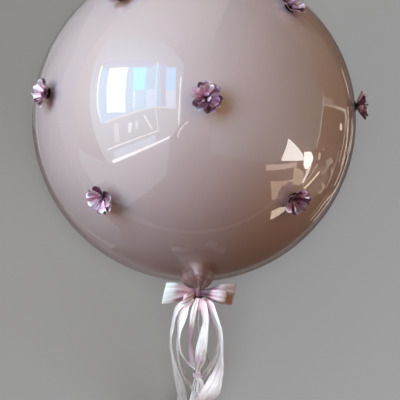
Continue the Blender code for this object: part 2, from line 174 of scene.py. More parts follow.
def newGroup(name, inputs, outputs):
    # the group with its inner inputs and outputs; Colour is the one output that isn't a plain value
    group = bpy.data.node_groups.new(name, "ShaderNodeTree")
    for label, value in inputs.items():
        kind = "NodeSocketFloat" if isinstance(value, float) else "NodeSocketColor"
        group.interface.new_socket(name=label, in_out="INPUT", socket_type=kind).default_value = value
    for label in outputs:
        kind = "NodeSocketColor" if label == "Colour" else "NodeSocketFloat"
        group.interface.new_socket(name=label, in_out="OUTPUT", socket_type=kind)
    start, end = node(group, "NodeGroupInput", (-900, 0)), node(group, "NodeGroupOutput", (700, 0))
    return group, start.outputs, end.inputs


def newMaterial(name, **values):
    material = bpy.data.materials.new(name)
    material.use_nodes = True
    shader = material.node_tree.nodes["Principled BSDF"]
    for label, value in values.items():
        shader.inputs[label.replace("_", " ")].default_value = value
    return material, material.node_tree, shader


# slow, cloudy change of colour with a fine grain in the height
cloudGroup, given, result = newGroup(
    "cloudyTint",
    {
        "Scale": 5.0,
        "Grain Scale": 400.0,
        "Light Colour": (0.6, 0.5, 0.5, 1),
        "Dark Colour": (0.5, 0.4, 0.4, 1),
    },
    ("Colour", "Height"),
)
spot = node(cloudGroup, "ShaderNodeTexCoord", (-900, -250)).outputs["Object"]
cloudValues = {"Vector": spot, "Scale": given["Scale"], "Detail": 3.0, "Roughness": 0.55}
grainValues = {"Vector": spot, "Scale": given["Grain Scale"], "Detail": 2.0, "Roughness": 0.6}
cloud = node(cloudGroup, "ShaderNodeTexNoise", (-600, 100), **cloudValues)
grain = node(cloudGroup, "ShaderNodeTexNoise", (-600, -250), **grainValues)
tint = mixed(cloudGroup, (200, 100), cloud.outputs["Fac"], given["Dark Colour"], given["Light Colour"])
plug(cloudGroup, tint, result["Colour"])
plug(cloudGroup, grain.outputs["Fac"], result["Height"])

# satin: fine threads along and across the ribbon, with a firmer woven edge, and painted sheen: streaks
# lighter and darker along it
satinGroup, given, result = newGroup(
    "satinWeaveAndSheen",
    {"Threads": 60.0, "Light Colour": (0.8, 0.7, 0.8, 1), "Dark Colour": (0.6, 0.4, 0.5, 1), "Edge": 0.06},
    ("Colour", "Crease", "Height"),
)
spot = node(satinGroup, "ShaderNodeTexCoord", (-1300, -250)).outputs["UV"]
parts = node(satinGroup, "ShaderNodeSeparateXYZ", (-1100, -250), Vector=spot)
threads = {"Vector": spot, "Scale": given["Threads"]}
warpValues = {"bands_direction": "X", "Distortion": 0.4, "Detail": 2.0, **threads}
weftValues = {"bands_direction": "Y", "Distortion": 0.2, "Detail": 1.0, **threads}
warp = node(satinGroup, "ShaderNodeTexWave", (-600, -150), **warpValues)
weft = node(satinGroup, "ShaderNodeTexWave", (-600, -450), **weftValues)
stretch = node(satinGroup, "ShaderNodeMapping", (-850, 250), Vector=spot, Scale=(1.5, 0.10, 1))
sheenStreakValues = {"Vector": stretch.outputs["Vector"], "Scale": 5.0, "Detail": 3.0, "Roughness": 0.6}
sheenStreak = node(satinGroup, "ShaderNodeTexNoise", (-600, 250), **sheenStreakValues).outputs["Fac"]
contrast = node(satinGroup, "ShaderNodeMapRange", (-350, 250), Value=sheenStreak, From_Min=0.32, From_Max=0.62)
fromMiddle = maths(satinGroup, "SUBTRACT", (-850, -50), parts.outputs["X"], 0.5)
distance = maths(satinGroup, "ABSOLUTE", (-650, 50), fromMiddle)
edgeFrom = maths(satinGroup, "SUBTRACT", (-650, 0), 0.5, given["Edge"])
edgeMask = maths(satinGroup, "GREATER_THAN", (-400, 50), distance, edgeFrom)
woven = maths(satinGroup, "MULTIPLY_ADD", (-250, -300), weft.outputs["Fac"], 0.5, warp.outputs["Fac"])
height = maths(satinGroup, "ADD", (0, -250), woven, edgeMask)
# painted sheen: the streaks mix the light and dark colours
tint = mixed(satinGroup, (0, 200), contrast.outputs["Result"], given["Dark Colour"], given["Light Colour"])
plug(satinGroup, tint, result["Colour"])
plug(satinGroup, sheenStreak, result["Crease"])
plug(satinGroup, height, result["Height"])

satinValues = {
    "look": {"Roughness": 0.25, "Sheen_Weight": 0.25, "Sheen_Roughness": 0.35, "Specular_IOR_Level": 0.85},
    "threads": 60,
    "paintedShade": (0.66, 0.58, 0.62),  # painted shade: the dark side of a sheen streak
    "tintedAndShaded": 0.5,  # metres of ribbon that the tints and the painted shade run along
    "creaseDepth": 0.05,  # of the ribbon's flat width
    "sheerAlpha": 0.6,
}


def satinMaterial(name, stops, flat, alpha):
    # stops are (metres along the ribbon, colour), colours that hold painted light and shade along it; flat
    # is the ribbon's own width, as in its map
    material, tree, shader = newMaterial(name, Coat_Roughness=0.3, Alpha=alpha, **satinValues["look"])
    place = node(tree, "ShaderNodeTexCoord", (-1500, 0))
    parts = node(tree, "ShaderNodeSeparateXYZ", (-1300, 0), Vector=place.outputs["UV"])
    along = maths(tree, "MULTIPLY", (-1100, 0), parts.outputs["Y"], flat / satinValues["tintedAndShaded"])
    weave = node(tree, "ShaderNodeGroup", (-600, 100), node_tree=satinGroup, Threads=satinValues["threads"])
    paintedShades = (("Light Colour", (1, 1, 1), 200), ("Dark Colour", satinValues["paintedShade"], -100))
    for label, paintedShade, level in paintedShades:
        tintsAndShades = []
        for metres, colour in stops:
            tintsAndShades.append((metres / satinValues["tintedAndShaded"], [c * k for c, k in zip(colour, paintedShade)]))
        plug(tree, ramp(tree, (-900, level), along, tintsAndShades), weave.inputs[label])
    creaseValues = {"Strength": 0.6, "Distance": flat * satinValues["creaseDepth"]}
    creases = node(tree, "ShaderNodeBump", (-550, -250), Height=weave.outputs["Crease"], **creaseValues)
    plug(tree, weave.outputs["Colour"], shader.inputs["Base Color"])
    roughen(tree, shader, weave.outputs["Height"], 0.12, 0.00006, Normal=creases.outputs["Normal"])
    return material


# satin colours; the dark ones (plum, wine, mauve, dusky, fawn) paint shade at the knots and in the bow's
# folds
satinTintsAndShades = {
    "white": (0.91, 0.94, 0.97),
    "blush": (0.90, 0.77, 0.84),
    "pink": (0.92, 0.62, 0.71),
    "rose": (0.76, 0.43, 0.52),
    "dusky": (0.62, 0.46, 0.49),
    "mauve": (0.45, 0.27, 0.33),
    "slate": (0.45, 0.36, 0.41),
    "lilac": (0.76, 0.65, 0.80),
    "beige": (0.86, 0.83, 0.86),
    "fawn": (0.50, 0.36, 0.36),
    "plum": (0.17, 0.07, 0.10),
    "wine": (0.30, 0.12, 0.18),
}
# each ribbon end is pink near the bow, with painted shade where it bunches there, then white, with lilac,
# slate and beige bands further along
satinColourAndShadeStops = {
    "whiteSatin": ((0.0, "rose"), (0.012, "blush"), (0.026, "white"), (0.13, "white")),
    "blushSatin": (
        (0.0, "rose"), (0.016, "blush"), (0.036, "white"), (0.12, "white"), (0.13, "lilac"),
        (0.16, "white"),
    ),
    "mauveSatin": (
        (0.0, "blush"), (0.012, "white"), (0.034, "white"), (0.052, "slate"), (0.085, "slate"),
        (0.115, "lilac"), (0.15, "white"),
    ),
    "centreSatin": (
        (0.0, "mauve"), (0.010, "pink"), (0.026, "blush"), (0.040, "white"), (0.106, "white"),
        (0.122, "lilac"), (0.14, "white"),
    ),
    "beigeSatin": (
        (0.0, "mauve"), (0.008, "pink"), (0.024, "blush"), (0.036, "white"), (0.13, "white"),
        (0.15, "beige"),
    ),
    # painted light and shade along the back bow: plum at the knot, white where the left loop's end catches
    # light, mauve, fawn and dusky on its shaded right loop
    "bowLitAndShadedSatin": (
        (0.0, "plum"), (0.006, "wine"), (0.013, "rose"), (0.030, "dusky"), (0.0365, "white"),
        (0.055, "white"), (0.075, "blush"), (0.098, "plum"), (0.147, "mauve"), (0.151, "beige"),
        (0.155, "beige"), (0.162, "fawn"), (0.180, "fawn"), (0.188, "dusky"), (0.196, "wine"),
        (0.204, "plum"),
    ),
    # painted light and shade along the front bow: plum and wine at the knot, pink, blush and white where
    # its loops catch light
    "loopLitAndShadedSatin": (
        (0.0, "plum"), (0.004, "wine"), (0.010, "pink"), (0.017, "blush"), (0.028, "pink"), (0.05, "plum"),
        (0.075, "mauve"), (0.09, "blush"), (0.096, "white"), (0.116, "blush"), (0.126, "pink"),
        (0.132, "wine"), (0.134, "plum"),
    ),
    # painted shade: the wraps at the knots are dark wine, for the shade in the knot's creases
    "plumKnotShadeSatin": ((0.0, "wine"), (0.02, "wine")),
    "lilacSatin": ((0.0, "lilac"), (0.1, "lilac")),
    "sheerSatin": ((0.0, "white"), (0.1, "white")),
}
print("satin materials made")

# latex: dusty rose, cloudy where the skin is thinner
latexMaterial, tree, shader = newMaterial(
    "roseLatex", Roughness=0.42, Specular_IOR_Level=0.35, Sheen_Weight=0.15, Sheen_Roughness=0.5
)
latexLook = {
    "Scale": 7,
    "Grain_Scale": 900,
    "Light_Colour": (0.60, 0.48, 0.50, 1),
    "Dark_Colour": (0.55, 0.43, 0.46, 1),
}
cloudy = node(tree, "ShaderNodeGroup", (-600, 100), node_tree=cloudGroup, **latexLook)
plug(tree, cloudy.outputs["Colour"], shader.inputs["Base Color"])
roughen(tree, shader, cloudy.outputs["Height"], 0.05, 0.0002)

# clear film: plain glass values, hardly dented
filmMaterial, tree, shader = newMaterial(
    "clearFilm", Base_Color=(1.0, 1.0, 1.0, 1.0), Roughness=0.02, IOR=1.5, Transmission_Weight=1.0
)
cloudy = node(tree, "ShaderNodeGroup", (-900, -100), node_tree=cloudGroup, Grain_Scale=14)
roughen(tree, shader, cloudy.outputs["Height"], 1.0, 0.00009)

# the same film where it is bunched at the neck: milky, tinted, and crumpled in lines that run to the knot;
# its tint holds painted shade, darker in the crumples' hollows
bunchedValues = {
    "within": 0.052,  # metres from the knot
    "full": 0.026,
    "milky": (0.06, 0.62),
    "tintsAndShades": [(0.30, (0.16, 0.07, 0.075)), (0.64, (0.42, 0.235, 0.24))],
    "crumples": {"Scale": 3.8, "Detail": 4.0, "Roughness": 0.65, "Distortion": 0.9},
    "linesRun": 42.0,
    "depth": 0.004,
}
bunchedMaterial, tree, shader = newMaterial(
    "bunchedFilm", Roughness=0.26, Coat_Weight=0.25, Coat_Roughness=0.12, Specular_IOR_Level=0.5
)
spot = node(tree, "ShaderNodeTexCoord", (-1700, 200)).outputs["Object"]
fromKnot = maths(tree, "DISTANCE", (-1100, 200), spot, neckKnot, kind="ShaderNodeVectorMath")
neckAngles = (neckTurn @ Matrix.Rotation(math.radians(90), 3, "X")).transposed().to_euler()
neckShift = -(neckAngles.to_matrix() @ centre)
# turned so that the neck's own axis is Z
alongNeck = node(
    tree, "ShaderNodeMapping", (-1500, -400), Vector=spot, Rotation=neckAngles, Location=neckShift
)
parts = node(tree, "ShaderNodeSeparateXYZ", (-1300, -400), Vector=alongNeck.outputs["Vector"])
neckRound = maths(tree, "ARCTAN2", (-1150, -350), parts.outputs["X"], parts.outputs["Y"])
neckLong = maths(tree, "MULTIPLY", (-1150, -500), parts.outputs["Z"], bunchedValues["linesRun"])
neckLines = node(tree, "ShaderNodeCombineXYZ", (-1050, -400), X=neckRound, Y=neckLong).outputs[0]
crumple = node(tree, "ShaderNodeTexNoise", (-900, -400), Vector=neckLines, **bunchedValues["crumples"])
roughen(tree, shader, crumple.outputs["Fac"], 1.0, bunchedValues["depth"])
# painted shade: the colour darkens where the crumple bump is low
tintedAndShaded = ramp(tree, (-500, 300), crumple.outputs["Fac"], bunchedValues["tintsAndShades"])
plug(tree, tintedAndShaded, shader.inputs["Base Color"])
bunchedRange = {"From_Min": bunchedValues["within"], "From_Max": bunchedValues["full"]}
bunchedPart = node(
    tree, "ShaderNodeMapRange", (-900, 200), interpolation_type="SMOOTHSTEP", Value=fromKnot, **bunchedRange
).outputs["Result"]
clearest, milkiest = bunchedValues["milky"]
milky = node(tree, "ShaderNodeMapRange", (-500, 0), Value=bunchedPart, To_Min=clearest, To_Max=milkiest)
plug(tree, milky.outputs["Result"], shader.inputs["Alpha"])

# petals: pearly mauve, dark in the throat and pale at the tip, with creases running out from the base
petalGroup, given, result = newGroup(
    "petalCreases",
    {
        "Creases": 7.0,
        "Throat Colour": (0.05, 0.01, 0.03, 1),
        "Middle Colour": (0.3, 0.14, 0.26, 1),
        "Tip Colour": (0.6, 0.45, 0.6, 1),
    },
    ("Colour", "Height"),
)
spot = node(petalGroup, "ShaderNodeTexCoord", (-1300, 0)).outputs["UV"]
parts = node(petalGroup, "ShaderNodeSeparateXYZ", (-1100, 0), Vector=spot)
spread = node(petalGroup, "ShaderNodeMapping", (-850, -250), Vector=spot, Scale=(1, 0.12, 1))
creaseValues = {"Scale": given["Creases"], "Detail": 3.0, "Roughness": 0.6}
spot = spread.outputs["Vector"]
crease = node(petalGroup, "ShaderNodeTexNoise", (-600, -250), Vector=spot, **creaseValues)
along = parts.outputs["Y"]
lower = node(petalGroup, "ShaderNodeMapRange", (-600, 200), Value=along, From_Min=0.05, From_Max=0.42)
upper = node(petalGroup, "ShaderNodeMapRange", (-600, 0), Value=along, From_Min=0.45, From_Max=0.90)
inner = mixed(petalGroup, (-300, 200), lower.outputs[0], given["Throat Colour"], given["Middle Colour"])
tint = mixed(petalGroup, (0, 100), upper.outputs[0], inner, given["Tip Colour"])
plug(petalGroup, tint, result["Colour"])
plug(petalGroup, crease.outputs["Fac"], result["Height"])

petalMaterial, tree, shader = newMaterial(
    "pearlPetal", Roughness=0.26, Metallic=0.62, Coat_Weight=0.25, Coat_Roughness=0.15, Sheen_Weight=0.1
)
petalLook = {
    "Throat_Colour": (0.05, 0.006, 0.025, 1),
    "Middle_Colour": (1.0, 0.56, 0.74, 1),
    "Tip_Colour": (1.0, 0.82, 0.93, 1),
}
paintedPetalShades = [(0.26, (0.24, 0.14, 0.20)), (0.62, (1, 1, 1))]  # painted shade: some petals darker than others, as if turned away from the light
creased = node(tree, "ShaderNodeGroup", (-600, 100), node_tree=petalGroup, **petalLook)
shaded = node(tree, "ShaderNodeAttribute", (-600, 350), attribute_name="paintedPetalShade")
paintedShades = ramp(tree, (-400, 350), shaded.outputs["Fac"], paintedPetalShades)
tintedAndShaded = mixed(tree, (-150, 250), 1, creased.outputs["Colour"], paintedShades, blend_type="MULTIPLY")
plug(tree, tintedAndShaded, shader.inputs["Base Color"])
roughen(tree, shader, creased.outputs["Height"], 0.9, 0.0015)

# floor: pale grey paint
floorMaterial, tree, shader = newMaterial("paleFloor", Roughness=0.85, Specular_IOR_Level=0.2)
floorLook = {"Scale": 1.2, "Light_Colour": (0.47, 0.472, 0.474, 1), "Dark_Colour": (0.455, 0.457, 0.459, 1)}
cloudy = node(tree, "ShaderNodeGroup", (-600, 100), node_tree=cloudGroup, **floorLook)
plug(tree, cloudy.outputs["Colour"], shader.inputs["Base Color"])
print("materials made")

# ---- ribbons


drop = {
    "reach": 0.30,  # out from the bow to where the ends lie flat
    "floorGap": 0.0003,
    "edgeTurn": 0.7,
    "rows": 150,
    "across": 12,
    "thickness": 0.0003,
    "ripple": 0.0004,
    "loosens": (0.012, 0.03),  # how far from the bow a ribbon starts to hang free, and over what length
}
layerStep = 0.0012  # from one ribbon to the next inside a knot
gather = 0.005  # a ribbon's width where it leaves the bow
tie = {"x": 0.006, "reach": 0.119, "half": 0.006, "width": 0.009, "near": 0.007, "loosens": (0.008, 0.02)}


def fall(along):
    # the height of the hanging ends at a distance out from the bow, and its slope
    step = 0.001
    height = knot.z * (1 - smoothStep(along / drop["reach"]))
    beyond = knot.z * (1 - smoothStep((along + step) / drop["reach"]))
    return height, (beyond - height) / step


def dropAt(reach, lift):
    # the point at that distance out, lifted square off the fall
    along = reach
    for _ in range(4):
        height, slope = fall(along)
        off = Vector((0, slope, 1)).normalized() * lift
        along = reach + off.y
    return Vector((0, knot.y - along, height)) + off


def throughTie(layer, width):
    lift = (layer - 1.5) * layerStep
    share = min(1.0, tie["width"] / width)
    return [(tie["reach"] + side * tie["half"], tie["x"], lift, share, 0) for side in (-1, 1)]


def curveThrough(points, count):
    # a smooth curve through the points, then count rows evenly along it
    finer = 24
    rows = [Vector(p) for p in points]
    dense = []
    for i in range(len(rows) - 1):
        before, start = rows[max(i - 1, 0)], rows[i]
        end, after = rows[i + 1], rows[min(i + 2, len(rows) - 1)]
        for k in range(finer):
            t = k / finer
            dense.append(
                0.5
                * (
                    2 * start
                    + (end - before) * t
                    + (2 * before - 5 * start + 4 * end - after) * t * t
                    + (3 * start - before - 3 * end + after) * t ** 3
                )
            )
    dense.append(rows[-1])
    along = [0.0]
    for a, b in zip(dense, dense[1:]):
        along.append(along[-1] + (b.xy - a.xy).length)
    evenly, at = [], 0
    for k in range(count):
        target = along[-1] * k / (count - 1)
        while at < len(dense) - 2 and along[at + 1] < target:
            at += 1
        span = max(along[at + 1] - along[at], 1e-9)
        evenly.append(dense[at].lerp(dense[at + 1], (target - along[at]) / span))
    return evenly


def bunched(points, sides, widths):
    # narrower where a ribbon turns so tightly that its edge would run backwards
    widths = list(widths)
    settled = False
    while not settled:
        settled = True
        for k in range(len(points) - 1):
            run = points[k + 1] - points[k]
            turn = (sides[k + 1] * widths[k + 1] - sides[k] * widths[k]) / 2
            if abs(turn.dot(run)) > drop["edgeTurn"] * run.length_squared:
                widths[k] *= 0.97
                widths[k + 1] *= 0.97
                settled = False
    return widths


def sectionOffsets(width, flat, lies, free, phase, count, pleatCap, folds):
    # (across, out of the face) from one edge to the other; free is 0 in a knot and 1 where it hangs loose
    offsets = []
    spare = max(flat / max(width, 1e-4) - 1, 0.0)
    pleats = 2.0 if flat > 0.012 else 1.5
    deep = width / (2 * math.pi * pleats) * (2 * math.sqrt(spare) + 0.6 * spare)
    deep = min(deep, 0.0005 + pleatCap * free)
    for j in range(count + 1):
        u = j / count - 0.5
        if lies == "folded":
            across = width * (2 * abs(u) - 0.5)
            out = math.copysign(min(1.0, abs(u) * 10), u) * 0.0004
        elif lies == "curled":
            half = 0.2 + 0.93 * free
            across = width / 2 * math.sin(2 * half * u) / math.sin(half)
            out = width / 2 * (math.cos(2 * half * u) - 0.5 - 0.5 * math.cos(half)) / math.sin(half)
        else:
            across = width * u
            out = free * width * 0.05 * (1 - 4 * u * u)
        if lies != "folded" and spare > 0.15:
            out += deep * math.sin(2 * math.pi * pleats * u + phase) * min(1.0, spare * 2)
        out += folds * (1 - 0.75 * free) * min(1.0, width / 0.012) * math.cos(2 * math.pi * 2.6 * u + phase)
        offsets.append((across, out))
    return offsets


def asSheet(name, mesh, offset):
    # the bmesh made into a piece with a ribbon's own thickness
    data = bpy.data.meshes.new(name)
    mesh.to_mesh(data)
    mesh.free()
    made = bpy.data.objects.new(name, data)
    bpy.context.scene.collection.objects.link(made)
    addModifier(made, "SOLIDIFY", thickness=drop["thickness"], offset=offset)
    recalculate(made)
    smoothUnder(made, 60)
    return made


def ribbonMesh(
    name,
    rows,
    across,
    flat,
    lies,
    seed,
    count=drop["across"],
    pleatCap=0.0012,
    wander=20.0,
    folds=0.0,
    loops=False,
):
    # rows are (point, width, roll in degrees, free); the mesh gets a UV of (across, along / flat width)
    points = [row[0] for row in rows]
    runs, sides = [], []
    for k, row in enumerate(rows):
        run = (points[min(k + 1, len(points) - 1)] - points[max(k - 1, 0)]).normalized()
        side = across if loops else (across - run * across.dot(run)).normalized()
        runs.append(run)
        sides.append(Matrix.Rotation(math.radians(row[2]), 3, run) @ side)
    widths = bunched(points, sides, [row[1] for row in rows])
    mesh = bmesh.new()
    uvLayer = mesh.loops.layers.uv.new("ribbonMap")
    grid, along = [], [0.0]
    for k, row in enumerate(rows):
        if k:
            along.append(along[-1] + (points[k] - points[k - 1]).length)
        face = runs[k].cross(sides[k])
        if face.z < 0:
            face = -face
        if loops:
            face *= smoothStep(face.z / 0.7)  # a loop's end turns back smoothly
        ripple = drop["ripple"] * row[3] * noise.noise(Vector((along[-1] * 45, seed, 0)))
        line = []
        phase = seed + along[-1] * wander
        for a, b in sectionOffsets(widths[k], flat, lies, row[3], phase, count, pleatCap, folds):
            spot = points[k] + sides[k] * a + face * (b + ripple)
            spot.z = max(spot.z, drop["floorGap"] + drop["thickness"] / 2)
            line.append(mesh.verts.new(spot))
        grid.append(line)
    for k in range(len(grid) - 1):
        for j in range(count):
            quad = mesh.faces.new((grid[k][j], grid[k][j + 1], grid[k + 1][j + 1], grid[k + 1][j]))
            spots = ((j, k), (j + 1, k), (j + 1, k + 1), (j, k + 1))
            for loop, (jj, kk) in zip(quad.loops, spots):
                loop[uvLayer].uv = (jj / count, along[kk] / flat)
    return asSheet(name, mesh, 0), along[-1]


ribbons = {
    "ribbonLeftSheer": {
        "node": "streamer_left_sheer", "satin": "sheerSatin", "width": 0.015, "flat": 0.015, "lies": "open",
        "route": [
            (0.0085, 0.0, 0.001, gather / 0.015, 0), (0.0137, -0.008, 0.0022, 0.40, 8),
            (0.019, -0.0195, 0.0018, 0.55, 45), (0.0303, -0.0265, -0.001, 0.80, 72),
            (0.0508, -0.0315, -0.003, 1, 78), (0.0654, -0.034, -0.004, 1, 78),
            (0.0849, -0.033, -0.004, 1, 68), (0.1093, -0.028, -0.004, 1, 48),
            (0.1405, -0.021, -0.004, 1, 15), (0.1649, -0.020, -0.004, 1, 0), (0.1952, -0.040, -0.002, 1, 0),
            (0.2245, -0.062, 0.0, 1, 0), (0.2635, -0.080, 0.001, 1, 0), (0.3123, -0.088, 0.001, 1, 8),
            (0.3611, -0.084, 0.001, 1, 0),
        ],
    },
    "ribbonLeftInner": {
        "node": "streamer_left_inner", "satin": "blushSatin", "width": 0.015, "flat": 0.015, "lies": "open",
        "route": [
            (0.0085, 0.0, -0.0004, gather / 0.015, 0), (0.0127, -0.0045, -0.0006, 0.45, 0),
            (0.0185, -0.0115, 0.0, 0.75, 0), (0.0293, -0.0155, 0.0, 1, 20), (0.0371, -0.0175, 0.0, 1, 40),
            (0.0517, -0.021, 0.0, 1, 68), (0.0664, -0.0225, 0.0, 1, 74), (0.0849, -0.020, 0.0, 0.9, 62),
            (0.0966, -0.014, -0.001, 0.75, 40), (0.1054, -0.005, -0.0022, 0.65, 10), *throughTie(1, 0.015),
            (0.1327, 0.0025, -0.0010, 0.45, 0), (0.1445, 0.0, -0.0024, 0.42, 20),
            (0.1581, -0.0028, -0.001, 0.5, 45), (0.1806, -0.008, 0.0, 0.7, 45),
            (0.2098, -0.018, 0.0, 0.9, 10), (0.244, -0.0235, 0.001, 1, 0), (0.2928, -0.024, 0.001, 1, 0),
            (0.3367, -0.028, 0.001, 1, 0),
        ],
    },
    "ribbonLeftOuter": {
        "node": "streamer_left_outer", "satin": "whiteSatin", "width": 0.008, "flat": 0.01,
        "lies": "curled",
        "route": [
            (0.0085, 0.0, -0.0018, gather / 0.008, 0), (0.0146, -0.0085, -0.004, 0.8, 0),
            (0.0293, -0.0145, -0.008, 1, 30), (0.0468, -0.020, -0.013, 1, 50),
            (0.0722, -0.024, -0.016, 1, 62), (0.0927, -0.0235, -0.017, 1, 55),
            (0.1113, -0.020, -0.018, 1, 35), (0.1288, -0.013, -0.018, 1, 20),
            (0.1415, -0.005, -0.018, 1, 20), (0.1571, 0.004, -0.018, 1, 20), (0.1806, 0.017, -0.016, 1, 15),
            (0.1952, 0.025, -0.012, 1, 10), (0.2098, 0.032, -0.008, 1, 0), (0.244, 0.044, -0.001, 1, 0),
            (0.2928, 0.048, 0.001, 1, 0), (0.3416, 0.053, 0.001, 1, 0), (0.3758, 0.060, 0.001, 1, 0),
        ],
    },
    "ribbonMauve": {
        "node": "streamer_mauve", "satin": "mauveSatin", "width": 0.008, "flat": 0.01, "lies": "curled",
        "route": [
            (0.0085, 0.006, 0.001, gather / 0.008, 0), (0.0205, 0.002, 0.001, 0.9, 0),
            (0.0342, -0.001, 0.001, 1, 0), (0.0478, -0.003, 0.001, 1, 10), (0.0634, -0.005, 0.001, 1, 35),
            (0.0771, -0.0045, 0.001, 1, 20), (0.0927, -0.003, 0.002, 1, 0), (0.1054, 0.0, 0.0014, 1, 0),
            *throughTie(2, 0.008), (0.1327, 0.0068, 0.0007, 0.9, 0), (0.1445, 0.0066, 0.0014, 1, 10),
            (0.1581, 0.0080, 0.002, 1, 50), (0.1806, 0.005, 0.001, 1, 60), (0.2098, 0.002, 0.001, 1, 20),
            (0.244, -0.001, 0.001, 1, 0), (0.2928, -0.001, 0.001, 1, 0), (0.3318, -0.001, 0.001, 1, 0),
        ],
    },
    "ribbonThinMiddle": {
        "node": "streamer_thin_middle", "satin": "whiteSatin", "width": 0.005, "flat": 0.01,
        "lies": "folded",
        "route": [
            (0.0085, 0.006, -0.0004, 1, 0), (0.0156, 0.006, -0.001, 1, 0), (0.0234, 0.006, -0.003, 1, 35),
            (0.0322, 0.007, -0.007, 1, 60), (0.041, 0.0055, -0.009, 1, 60), (0.0527, 0.007, -0.010, 1, 60),
            (0.0634, 0.009, -0.010, 1, 50), (0.0781, 0.010, -0.010, 1, 30), (0.0976, 0.010, -0.008, 1, 10),
            (0.1054, 0.008, -0.005, 1, 0), *throughTie(0, 0.005), (0.1327, 0.0130, -0.002, 1, 20),
            (0.1435, 0.017, -0.004, 1, 40), (0.1581, 0.019, -0.004, 1, 40), (0.1806, 0.026, -0.003, 1, 20),
            (0.2098, 0.033, -0.002, 1, 0), (0.244, 0.0360, 0.0, 1, 0), (0.2928, 0.038, 0.001, 1, 0),
        ],
    },
    "ribbonCentre": {
        "node": "streamer_centre", "satin": "centreSatin", "width": 0.017, "flat": 0.017, "lies": "open",
        "route": [
            (0.0085, 0.012, 0.001, gather / 0.017, 0), (0.0176, 0.0132, 0.0025, 0.70, 22),
            (0.0322, 0.0165, 0.003, 1, 50), (0.0468, 0.0175, 0.004, 1, 62), (0.0595, 0.0155, 0.005, 1, 50),
            (0.0761, 0.0125, 0.005, 1, 30), (0.0908, 0.0105, 0.006, 1, 5),
            (0.0986, 0.0095, 0.007, 0.90, 15), (0.1054, 0.008, 0.0055, 0.70, 5), *throughTie(3, 0.017),
            (0.1327, 0.0110, 0.0045, 0.5, 8), (0.1435, 0.0137, 0.006, 0.5, 45),
            (0.1581, 0.0135, 0.004, 0.5, 74), (0.1806, 0.014, 0.003, 0.6, 55),
            (0.2098, 0.0175, 0.002, 0.8, 15), (0.244, 0.021, 0.001, 1, 0), (0.2928, 0.022, 0.001, 1, 0),
            (0.3416, 0.025, 0.001, 1, 0),
        ],
    },
    "ribbonRightInner": {
        "node": "streamer_right_inner", "satin": "whiteSatin", "width": 0.008, "flat": 0.01,
        "lies": "curled",
        "route": [
            (0.0085, 0.012, -0.0004, gather / 0.008, 0), (0.0185, 0.0195, -0.002, 0.8, 30),
            (0.0293, 0.024, -0.006, 1, 40), (0.0371, 0.027, -0.009, 1, 45), (0.0547, 0.034, -0.012, 1, 45),
            (0.0664, 0.037, -0.013, 1, 55), (0.0791, 0.036, -0.013, 1, 60), (0.0888, 0.034, -0.013, 1, 55),
            (0.1015, 0.029, -0.012, 1, 45), (0.1103, 0.0245, -0.012, 1, 35), (0.1171, 0.020, -0.012, 1, 30),
            (0.1366, 0.010, -0.012, 1, 25), (0.1562, 0.002, -0.011, 1, 25), (0.1806, -0.004, -0.009, 1, 20),
            (0.2098, -0.009, -0.005, 1, 0), (0.244, -0.011, 0.001, 1, 0), (0.2928, -0.011, 0.001, 1, 0),
            (0.3416, -0.014, 0.001, 1, 0),
        ],
    },
    "ribbonRightOuter": {
        "node": "streamer_right_outer", "satin": "beigeSatin", "width": 0.026, "flat": 0.026,
        "lies": "open",
        "route": [
            (0.0085, 0.0125, -0.0016, gather / 0.026, 0), (0.0130, 0.0180, -0.0042, 0.28, 20),
            (0.0185, 0.0265, 0.0, 0.45, 55), (0.0293, 0.031, 0.004, 0.65, 62),
            (0.0371, 0.034, 0.005, 0.80, 64), (0.0547, 0.0385, 0.006, 1, 70),
            (0.0712, 0.0405, 0.006, 1, 76), (0.0878, 0.0415, 0.006, 1, 78), (0.1064, 0.041, 0.007, 1, 73),
            (0.1191, 0.038, 0.007, 1, 64), (0.1318, 0.0335, 0.011, 1, 48), (0.1435, 0.028, 0.015, 1, 26),
            (0.1562, 0.019, 0.017, 1, 10), (0.1708, 0.008, 0.016, 1, 0), (0.1952, -0.014, 0.011, 1, 0),
            (0.2245, -0.036, 0.006, 1, 0), (0.2538, -0.048, 0.002, 1, 0), (0.3026, -0.053, 0.001, 1, 5),
            (0.3514, -0.058, 0.001, 1, 0), (0.3904, -0.056, 0.001, 1, 0),
        ],
    },
    "ribbonThinRight": {
        "node": "streamer_thin_right", "satin": "whiteSatin", "width": 0.005, "flat": 0.01,
        "lies": "folded",
        "route": [
            (0.0085, 0.006, -0.0018, 1, 0), (0.0137, 0.0095, -0.0024, 1, 0),
            (0.0195, 0.0115, -0.0045, 1, 5), (0.0273, 0.0145, -0.008, 1, 30), (0.039, 0.016, -0.014, 1, 50),
            (0.0586, 0.017, -0.016, 1, 50), (0.0781, 0.0165, -0.018, 1, 50), (0.1015, 0.021, -0.022, 1, 50),
            (0.121, 0.0255, -0.022, 1, 50), (0.1347, 0.0245, -0.022, 1, 40), (0.1484, 0.022, -0.022, 1, 20),
            (0.1708, 0.019, -0.024, 1, 10), (0.1903, 0.014, -0.023, 1, 0), (0.2147, 0.0095, -0.012, 1, 0),
            (0.244, 0.007, -0.001, 1, 0), (0.2928, 0.007, 0.001, 1, 0), (0.3318, 0.008, 0.001, 1, 0),
        ],
    },
}

satins = {}


def satinFor(kind, flat):
    if (kind, flat) not in satins:
        stops = [(metres, satinTintsAndShades[tint]) for metres, tint in satinColourAndShadeStops[kind]]
        name = f"{kind}{round(flat * 1000)}mm"
        alpha = satinValues["sheerAlpha"] if kind == "sheerSatin" else 1.0
        satins[kind, flat] = satinMaterial(name, stops, flat, alpha)
    return satins[kind, flat]


def looseness(distance, values):
    start, over = values["loosens"]
    return smoothStep((distance - start) / over)


